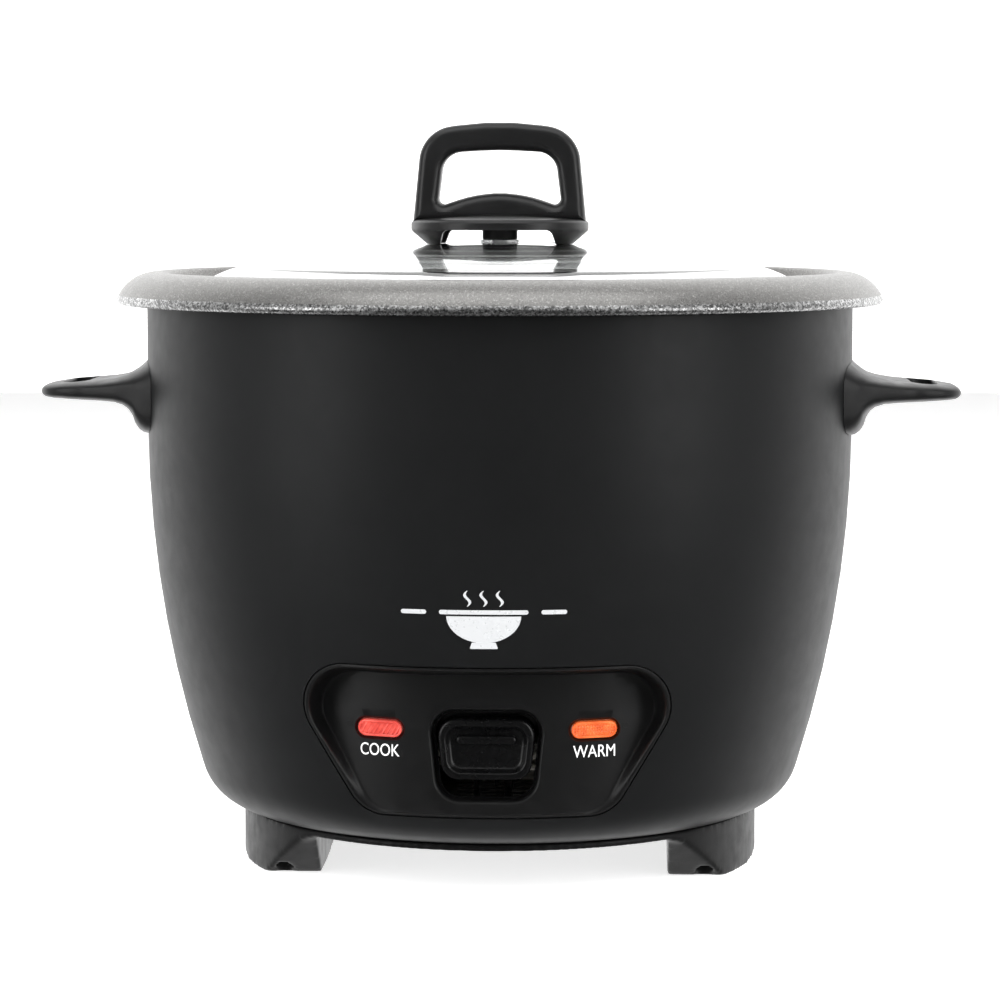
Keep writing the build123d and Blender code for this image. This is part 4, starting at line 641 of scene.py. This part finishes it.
def control_panel():
    """Moulded panel: rounded edge, bezel that slopes in to the curved face, lens holes and key's well."""
    face = rounded(inset_trapezoid(*PANEL_SHAPE, 5.0, 4.8, 1.6), [12.0, 12.5, 12.5, 12.0], 6.0)
    flange, edge, lip, land, face = alike([panel_loop(g) for g in (2.5, -0.3, -0.45, -1.0)] + [face], 3.0)

    def blended(t):
        return [tuple(Vector(a).lerp(Vector(b), t)) for a, b in zip(land, face)]

    def slope(e, drop=0.0):
        """Depth that goes from the shell's skin, at 0, to the face's cylinder, at 1."""
        return lambda u, v: skin_radius(v) * (1 - e) + PANEL_R * e - drop

    outer = [(face, PANEL_R - PANEL_SHEET), (blended(0.5), slope(0.55, 2.1)), (edge, slope(0, 2.2)),
             (flange, slope(0, 2.2)), (flange, slope(0, 1.2)), (edge, slope(0, 1.2)),
             (edge, slope(0, 0.55)), (lip, slope(0, 0.2)), (land, slope(0, 0.02))]
    for t, e in ((0.08, 0.012), (0.16, 0.05), (0.25, 0.125), (0.35, 0.25), (0.5, 0.46), (0.65, 0.68),
                 (0.76, 0.83), (0.85, 0.93), (0.93, 0.982)):
        outer.append((blended(t), slope(e)))
    outer.append((face, PANEL_R))
    holes = []
    for side in (-1, 1):
        slot = [lens_loop(side, -g) for g in (0.3, 0.3, 0.75, 1.1)]
        holes.append(list(zip(slot, [PANEL_R - d for d in (PANEL_SHEET, 1.2, 0.6, 0.0)])))
    neck, back, throat, bevel_in, bevel_out, brim = alike(
        [key_loop(-1.1, -1.2, -7.1, 6.6)] +
        [key_loop(-2.2 - g, -3.0 - g, -7.3 - g, 8.0 + g) for g in (1.6, 0.0, 0.2, 0.6, 1.0)], 3.0)
    well = ((back, PANEL_SHEET), (back, WELL_DEPTH), (neck, WELL_DEPTH), (neck, 7.6), (throat, 7.6),
            (throat, 1.7), (bevel_in, 0.9), (bevel_out, 0.3), (brim, 0.0))
    holes.append([(loop, PANEL_R - d) for loop, d in well])
    bm = bmesh.new()
    solid(bm, front, outer, holes, spacing=3.0)
    return to_object(bm, "front_panel", "cooker", PANEL_PLASTIC, ["control_panel"], sharp=40)


control_panel()


def moulding_marks():
    """Small ejector marks beside the lenses, as thin raised rings."""
    for side, name in ((-1, "mark_left"), (1, "mark_right")):
        bm = bmesh.new()
        rings = [(moved(obround(d, d * 0.999), side * (LENS_X + 10.7), LENS_Z + 0.8), PANEL_R + rise)
                 for d, rise in ((2.4, -0.05), (2.4, 0.04), (2.0, 0.09), (1.6, 0.04), (1.6, -0.05))]
        solid(bm, front, rings, spacing=0.6)
        to_object(bm, name, "cooker", PANEL_PLASTIC)


moulding_marks()


def lens(side, name, node_name, material):
    """Clear lens with a polished rim and a field of moulded ribs or diamonds."""
    def pattern(u, v):
        u, v = u - side * LENS_X, v - LENS_Z
        if side < 0:
            return 0.3 * sin(2 * pi * (u * 0.86 - v * 0.5) / 1.3)
        return 0.34 * sin(2 * pi * (u + v) / 1.9) * sin(2 * pi * (u - v) / 1.9)

    rings = [(lens_loop(side, g), PANEL_R + rise) for g, rise in
             ((0, -2.9), (0, -0.1), (0.1, 0.3), (0.32, 0.52), (0.6, 0.55), (0.8, 0.42))]
    rings.append((lens_loop(side, 0.95), lambda u, v: PANEL_R + 0.3 + pattern(u, v)))
    bm = bmesh.new()
    solid(bm, front, rings, spacing=0.28)
    return to_object(bm, name, "cooker", material, [node_name], sharp=50)


lens(-1, "lens_cook", "cook_lens", RED)
lens(1, "lens_warm", "warm_lens", ORANGE)


def switch_key():
    """Key with a raised border, a scooped face and a grip ridge."""
    loops = alike([key_loop(g, g, g, 6.0 - 0.6 * g) for g in (0, 0.25, 0.8, 1.9, 2.3, 2.7, 3.4, 4.2)], 2.5)
    depths = (0.9, 0.3, 0.0, 0.0, 0.25, 0.9, 1.9)

    def scoop(u, v):
        return PANEL_R - 2.5 - 0.25 * (1 - (u / 14.0) ** 2)

    outer = [(loops[0], PANEL_R - KEY_DEPTH)] + [(loop, PANEL_R - d) for loop, d in zip(loops, depths)]
    outer.append((loops[-1], scoop))
    ridge = [(moved(obround(21.0 - 2 * g, 3.3 - 2 * g), 0, KEY_TOP - 7.3), w) for g, w in
             ((0, scoop), (0.15, PANEL_R - 1.3), (0.5, PANEL_R - 0.75), (1.0, PANEL_R - 0.6))]
    bm = bmesh.new()
    solid(bm, front, outer, [[ridge[0]]], spacing=2.0, ends=(False, True))
    rear = [bm.verts.new(front(u, v, PANEL_R - KEY_DEPTH)) for u, v in loops[0]]
    fill(bm, [loops[0]], [rear], 3.0, front, PANEL_R - KEY_DEPTH)
    solid(bm, front, ridge, spacing=0.8, ends=(False, True))
    return to_object(bm, "lever_key", "key_lever", KEY_PLASTIC, ["switch_key"], sharp=50)


switch_key()


# ------------------------------------------------------------------ prints
FILM = 0.07                    # how far a print stands proud


def lettering(word, x, z, height, width):
    """A generic word printed on the panel's face, as a thin raised film."""
    curve = bpy.data.curves.new("word_" + word.lower(), "FONT")
    curve.body = word
    curve.size = 1.0
    curve.extrude = 0.01
    curve.align_x = "CENTER"
    holder = bpy.data.objects.new("holder", curve)
    bpy.context.scene.collection.objects.link(holder)
    bpy.context.view_layer.update()
    mesh = bpy.data.meshes.new_from_object(holder.evaluated_get(bpy.context.evaluated_depsgraph_get()))
    bpy.data.objects.remove(holder)
    bm = bmesh.new()
    bm.from_mesh(mesh)
    bpy.data.meshes.remove(mesh)
    low = [min(v.co[i] for v in bm.verts) for i in (0, 1)]
    high = [max(v.co[i] for v in bm.verts) for i in (0, 1)]
    turn = asin(x / PANEL_R)
    for v in bm.verts:
        across = ((v.co.x - low[0]) / (high[0] - low[0]) - 0.5) * width
        up = ((v.co.y - low[1]) / (high[1] - low[1]) - 0.5) * height
        w = PANEL_R + (FILM if v.co.z > 0 else 0.0)
        t = turn + across / PANEL_R
        v.co = (w * sin(t), -w * cos(t), z + up)
    return to_object(bm, "word_" + word.lower(), "cooker", WHITE_INK, sharp=30)


lettering("COOK", -LENS_X, LENS_Z - 7.4, 4.2, 14.6)
lettering("WARM", LENS_X, LENS_Z - 7.4, 4.2, 15.2)


def pictogram():
    """Plain bowl with steam between two bars, printed on the drum."""
    def place(u, v, w):
        r = skin_radius(v) + w
        return (r * sin(u / SHELL_R), -r * cos(u / SHELL_R), v)

    foot_z = PANEL_TOP + 6.6
    bar_z = foot_z + 12.6
    bowl = [(13.0 * cos(radians(a)), bar_z - 1.4 + 9.2 * sin(radians(a))) for a in range(180, 361, 9)]
    shapes = [bowl, moved(obround(31.0, 1.5), 0, bar_z)]
    foot = [(-5.0, foot_z), (-4.2, foot_z + 2.2), (4.2, foot_z + 2.2), (5.0, foot_z)]
    shapes.append(rounded(foot, [0.3] * 4))
    for x in (-5.6, 0.0, 5.6):
        steam = [(x + 0.9 * sin(2 * pi * k / 14), bar_z + 2.0 + 5.4 * k / 14, 0.18 + 0.42 * sin(pi * k / 14))
                 for k in range(15)]
        shapes.append([(u - half, v) for u, v, half in steam] + [(u + half, v) for u, v, half in steam[::-1]])
    for side in (-1, 1):
        shapes.append(moved(obround(9.0, 1.5), side * 24.5, bar_z))
    bm = bmesh.new()
    for shape in shapes:
        loop = divided(shape, 1.5)
        solid(bm, place, [(loop, -0.01), (loop, 0.05), (inset(loop, 0.05), FILM)], spacing=1.2)
    return to_object(bm, "bowl_print", "cooker", SILVER_INK, sharp=30, weld=False)


pictogram()


# ------------------------------------------------------------------ pot and lid
def inner_pot():
    """Drawn pot: ledge for the lid, a wide rolled rim and a curled lip."""
    wall = 1.6
    inside_r, floor = SHELL_R - 14.6, POT_LOW.z + wall
    lip_r, lip_z = SHELL_R + 11.6, CREST - 10.8
    turn = radians(65.0)           # slope of the rim's outer face
    points = [(0, floor), (inside_r, floor), (inside_r, CREST - 11.0), (inside_r + 6.1, CREST - 11.0),
              (inside_r + 9.0, CREST), (lip_r - 10.8 / tan(turn), CREST), (lip_r, lip_z),
              (lip_r - 1.9 * sin(turn), lip_z - 1.9 * cos(turn))]
    skin = rounded(points, [0, 28.0, 2.5, 1.0, 2.2, 15.7, 1.7, 0], step=3.5, closed=False)
    skin = divided(skin, 9.0, closed=False)
    back = parallel(skin, wall)
    back[0] = (0.0, back[0][1])
    bm = bmesh.new()
    lathe(bm, skin + back[::-1], closed=False)
    for face in bm.faces:
        middle = face.calc_center_median()
        if hypot(middle.x, middle.y) > SHELL_R + 7.5 and middle.z < CREST - 8.4:
            face.material_index = 1        # the bare band at the lip
    return to_object(bm, "cooking_pot", "pot", [NONSTICK, BARE_EDGE], ["inner_pot"], sharp=40)


inner_pot()


def glass_lid():
    """Domed glass with a steeper border and a ground edge."""
    radius = LID_HIGH.x
    edge = CROWN - 18.0
    points = [(0, CROWN), (48.8, CROWN), (radius - 19.7, edge + 8.5), (radius, edge)]
    skin = rounded(points, [0, 512.7, 35.0, 0], step=1.6, closed=False)
    skin = divided(skin, 6.0, closed=False)
    back = parallel(skin, 3.5)
    back[0] = (0.0, back[0][1])
    out, ins = Vector(skin[-1]), Vector(back[-1])
    along = (out - Vector(skin[-2])).normalized()
    rim = [tuple(out.lerp(ins, t) + along * (sqrt(max(0.0, 1 - (2 * t - 1) ** 2)) - 1) * 0.9) for t in
           (0.0, 0.04, 0.12, 0.25, 0.5, 0.75, 0.88, 0.96, 1.0)]
    bm = bmesh.new()
    lathe(bm, skin[:-1] + rim + back[::-1][1:], closed=False)
    return to_object(bm, "lid_glass_dome", "lid", GLASS, ["glass_lid"], sharp=60)


glass_lid()


# ------------------------------------------------------------------ base, handles and knob
def softened(node_name, name, body, material, voxel, rounds):
    """Copy of a moulded CAD part with its edges rounded over."""
    bm = bmesh.new()
    bm.from_mesh(NODES[node_name].data)
    bmesh.ops.remove_doubles(bm, verts=bm.verts, dist=1e-6)
    mesh = bpy.data.meshes.new(name)
    bm.to_mesh(mesh)
    bm.free()
    piece = bpy.data.objects.new(name, mesh)
    bpy.context.scene.collection.objects.link(piece)
    remesh = piece.modifiers.new("remesh", "REMESH")
    remesh.mode = "VOXEL"
    remesh.voxel_size = voxel * MM
    smooth = piece.modifiers.new("smooth", "SMOOTH")
    smooth.factor = 0.5
    smooth.iterations = rounds
    bpy.context.view_layer.update()
    final = bpy.data.meshes.new_from_object(piece.evaluated_get(bpy.context.evaluated_depsgraph_get()))
    piece.modifiers.clear()
    piece.data = final
    final.name = name
    final.polygons.foreach_set("use_smooth", [True] * len(final.polygons))
    final.materials.clear()
    final.materials.append(material)
    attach(piece, body)
    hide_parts(node_name)
    return piece


def with_cut(bm, cutter):
    """The mesh with another closed mesh cut out of it."""
    pair = []
    for part in (bm, cutter):
        bmesh.ops.recalc_face_normals(part, faces=part.faces)
        mesh = bpy.data.meshes.new("cut")
        part.to_mesh(mesh)
        part.free()
        pair.append(bpy.data.objects.new("cut", mesh))
        bpy.context.scene.collection.objects.link(pair[-1])
    tool = pair[0].modifiers.new("cut", "BOOLEAN")
    tool.object, tool.operation, tool.solver = pair[1], "DIFFERENCE", "EXACT"
    bpy.context.view_layer.update()
    result = bmesh.new()
    result.from_object(pair[0], bpy.context.evaluated_depsgraph_get())
    for piece in pair:
        bpy.data.objects.remove(piece)
    return result


def along(points, d):
    """Value of a broken line at a distance."""
    for (d0, z0), (d1, z1) in zip(points, points[1:]):
        if d <= d1:
            return z0 + (z1 - z0) * (d - d0) / (d1 - d0)
    return points[-1][1]


def carry_handle(side, node_name, name):
    """Tapered grip with fully rounded edges, flared into its foot on the drum, with a hanging slot."""
    root, corner, blunt, sides = SHELL_R + 0.1, 16.0, 2.6, 72
    reach = HANDLE_HIGH.x - root
    over = [(0, 184.0), (1.2, 182.9), (3.2, 181.2), (6.4, 179.2), (10.5, 177.9), (15.5, 177.0), (22, 176.5),
            (30, 176.0), (39.4, 174.6)]
    under = [(0, 157.2), (1.4, 157.5), (2.9, 158.6), (4.2, 160.6), (5.0, 163.4), (6.2, 165.8), (8.2, 167.5),
             (11.2, 168.5), (16, 168.9), (25, 169.2), (34, 169.6), (39.4, 170.2)]
    bm = bmesh.new()
    rings = []
    for step in range(57):
        d = reach * (1 - cos(pi * step / 56)) / 2
        left = reach - d
        width = 25.0 + 8.5 * max(0.0, 1 - d / 31.0) ** 1.5 + 2.2 * max(0.0, 1 - d / 22.0)
        if left < corner:
            width += sqrt(max(0.0, corner ** 2 - (corner - left) ** 2)) - corner
        high, low = along(over, d), along(under, d)
        middle, half = (high + low) / 2, (high - low) / 2
        if left < blunt:
            half *= sqrt(max(0.0, 1 - ((blunt - left) / blunt) ** 2))
        power = 2 / (4.6 - 1.2 * min(1.0, d / 30.0))       # squarish at the root, rounder at the tip
        hug = max(0.0, 1 - d / 18.0)                       # how far the section follows the drum
        ring = []
        for k in range(sides):
            t = 2 * pi * k / sides
            y = width * math.copysign(abs(cos(t)) ** power, cos(t))
            z = middle + max(half, 0.02) * math.copysign(abs(sin(t)) ** power, sin(t))
            x = root + d - (root - sqrt(root ** 2 - min(abs(y), 60.0) ** 2)) * hug
            ring.append(bm.verts.new((side * x, y, z)))
        rings.append(ring)
    for p, q in zip(rings, rings[1:]):
        for k in range(sides):
            bm.faces.new((p[k - 1], p[k], q[k], q[k - 1]))
    bm.faces.new(rings[0])
    bm.faces.new(rings[-1])
    cutter = bmesh.new()
    slot = [(moved(upright_slot(9.0 + 2 * g, 34.0 + 2 * g), SHELL_R + 26.0, 0), z) for g, z in
            ((1.9, 179.0), (0.5, 176.2), (0.0, 174.9), (0.0, 170.4), (0.5, 169.2), (1.9, 167.0))]
    solid(cutter, lambda u, v, w: (side * u, v, w), slot, spacing=3.0)
    bm = with_cut(bm, cutter)
    return to_object(bm, name, "cooker", PLASTIC, [node_name], sharp=50)


carry_handle(1, "right_handle", "handle_right")
carry_handle(-1, "left_handle", "handle_left")


def knob():
    """Arched grip on a domed ring that stands on a windowed skirt."""
    seat = KNOB_LOW.z              # foot of the skirt
    deck = seat + 6.3              # underside of the ring
    profile = rounded([(5.2, deck), (29.2, deck), (25.0, seat), (27.0, seat), (32.8, seat + 5.0),
                       (32.8, deck + 1.7), (31.2, deck + 2.7), (0.0, deck + 5.2), (0.0, deck)],
                      [0, 0.6, 0.4, 0.6, 1.6, 1.0, 2.2, 0, 0], step=12)
    bm = bmesh.new()
    lathe(bm, profile[:-1] + [(0.0, deck)], segments=144, closed=True)
    cutter = bmesh.new()
    window = rounded([(-22.0, seat - 3.0), (-19.5, deck - 1.0), (19.5, deck - 1.0), (22.0, seat - 3.0)],
                     [0, 2.6, 2.6, 0], step=15)
    solid(cutter, lambda u, v, w: (u, w, v), [(window, -40.0), (window, 40.0)], spacing=8.0)
    bm = with_cut(bm, cutter)
    boss = [(0.0, seat + 1.4), (5.9, seat + 1.4), (6.5, seat + 2.0), (6.5, deck + 0.5), (0.0, deck + 0.5)]
    lathe(bm, boss, segments=48, closed=False)
    top, foot = KNOB_HIGH.z, deck + 2.0
    outer = rounded([(-31.8, foot), (-28.6, top - 2.6), (0.0, top + 1.5), (28.6, top - 2.6), (31.8, foot)],
                    [0, 13.5, 110.0, 13.5, 0], step=6)
    outer = divided(outer, 3.0)
    hole = rounded([(-22.9, deck + 7.2), (-20.4, top - 10.8), (0.0, top - 9.6), (20.4, top - 10.8),
                    (22.9, deck + 7.2), (12.0, deck + 11.0), (0.0, deck + 12.9), (-12.0, deck + 11.0)],
                   [2.2, 7.6, 120.0, 7.6, 2.2, 40.0, 40.0, 40.0], step=6)
    hole = divided(hole, 3.0)
    depth, edge = 7.0, 3.4         # half the bar's depth, and the radius on its edges
    turns = [radians(15 * k) for k in range(7)]
    shape = [(edge * (1 - sin(t)), -depth + edge * (1 - cos(t))) for t in turns]
    shape += [(g, -w) for g, w in reversed(shape)]
    rings = [[(inset(loop, sign * g), w) for g, w in shape] for loop, sign in ((outer, 1), (hole, -1))]

    def spread(u, v, w):
        """Legs that grow deeper towards the ring."""
        return (u, w * (1.0 + 0.35 * max(0.0, (deck + 16.0 - v) / 14.0) ** 2), v)

    solid(bm, spread, rings[0], [rings[1]], spacing=2.0)
    return to_object(bm, "knob", "lid", KNOB_PLASTIC, ["lid_knob"], sharp=40)


knob()
softened("base", "base_moulding", "cooker", BASE_PLASTIC, 1.0, 3)


# ------------------------------------------------------------------ stage, light and camera
def backdrop():
    """Seamless pale floor that curves up into a wall all round."""
    m = new_material("backdrop", (0.87, 0.87, 0.87), 0.75, specular=0.1)
    vary_color(m, noise(m, 0.8, 2.0), "Fac", (0.865, 0.865, 0.865), (0.885, 0.885, 0.885))
    b = m.node_tree.nodes["Principled BSDF"]
    b.inputs["Emission Color"].default_value = (1, 1, 1, 1)
    b.inputs["Emission Strength"].default_value = 0.75
    radius, wall_top, sweep = 4.5, 5.0, 1.6
    line = rounded([(0.0, 0.0), (radius, 0.0), (radius, wall_top)], [0, sweep, 0], step=4, closed=False)
    bm = bmesh.new()
    lathe(bm, line, segments=96, closed=False)
    mesh = bpy.data.meshes.new("backdrop")
    bm.to_mesh(mesh)
    bm.free()
    mesh.polygons.foreach_set("use_smooth", [True] * len(mesh.polygons))
    mesh.materials.append(m)
    piece = bpy.data.objects.new("backdrop", mesh)
    bpy.context.scene.collection.objects.link(piece)
    piece.visible_glossy = False


backdrop()


def area(name, place, aim, width, height, power):
    """Soft rectangular light."""
    light = bpy.data.lights.new(name, "AREA")
    light.shape = "RECTANGLE"
    light.size, light.size_y, light.energy = width, height, power
    lamp = bpy.data.objects.new(name, light)
    bpy.context.scene.collection.objects.link(lamp)
    lamp.location = place
    lamp.rotation_mode = "QUATERNION"
    lamp.rotation_quaternion = (Vector(aim) - Vector(place)).to_track_quat("-Z", "Y")


area("soft_top", (0, -0.45, 1.6), (0, 0, 0.1), 1.9, 1.1, 9.0)
area("soft_left", (-1.3, -0.85, 0.5), (0, 0, 0.12), 0.7, 1.3, 5.0)
area("soft_right", (1.3, -0.85, 0.5), (0, 0, 0.12), 0.7, 1.3, 5.5)


def studio_world():
    """Surroundings that are dark in front of the cooker and bright behind it."""
    world = bpy.data.worlds.new("studio")
    bpy.context.scene.world = world
    world.use_nodes = True
    sky = world.node_tree.nodes["Background"]
    where, split = node(world, "ShaderNodeTexCoord"), node(world, "ShaderNodeSeparateXYZ")
    spread = node(world, "ShaderNodeMapRange", From_Min=-1.0)
    link(world, where, "Generated", split, "Vector")
    link(world, split, "Y", spread, "Value")
    fade = ramp(world, spread, "Result",
                [(0.0, 0.02), (0.3, 0.05), (0.5, 0.13), (0.62, 0.27), (0.8, 0.75), (1.0, 1.0)])
    link(world, fade, "Color", sky, "Color")
    sky.inputs["Strength"].default_value = 1.7


studio_world()

CAMERA_DISTANCE, EYE_LEVEL, AIM_LEVEL = 1.22, 0.245, 0.1313
CAMERA_TURN = radians(2.5)
camera_data = bpy.data.cameras.new("camera")
camera = bpy.data.objects.new("camera", camera_data)
bpy.context.scene.collection.objects.link(camera)
bpy.context.scene.camera = camera
camera.location = (CAMERA_DISTANCE * sin(CAMERA_TURN), -CAMERA_DISTANCE * cos(CAMERA_TURN), EYE_LEVEL)
camera.rotation_mode = "QUATERNION"
camera.rotation_quaternion = (Vector((0, 0, AIM_LEVEL)) - camera.location).to_track_quat("-Z", "Y")
camera_data.lens = 118.4
camera_data.sensor_width = 36.0
camera_data.clip_start, camera_data.clip_end = 0.05, 20.0
bpy.context.scene.view_settings.view_transform = "Standard"
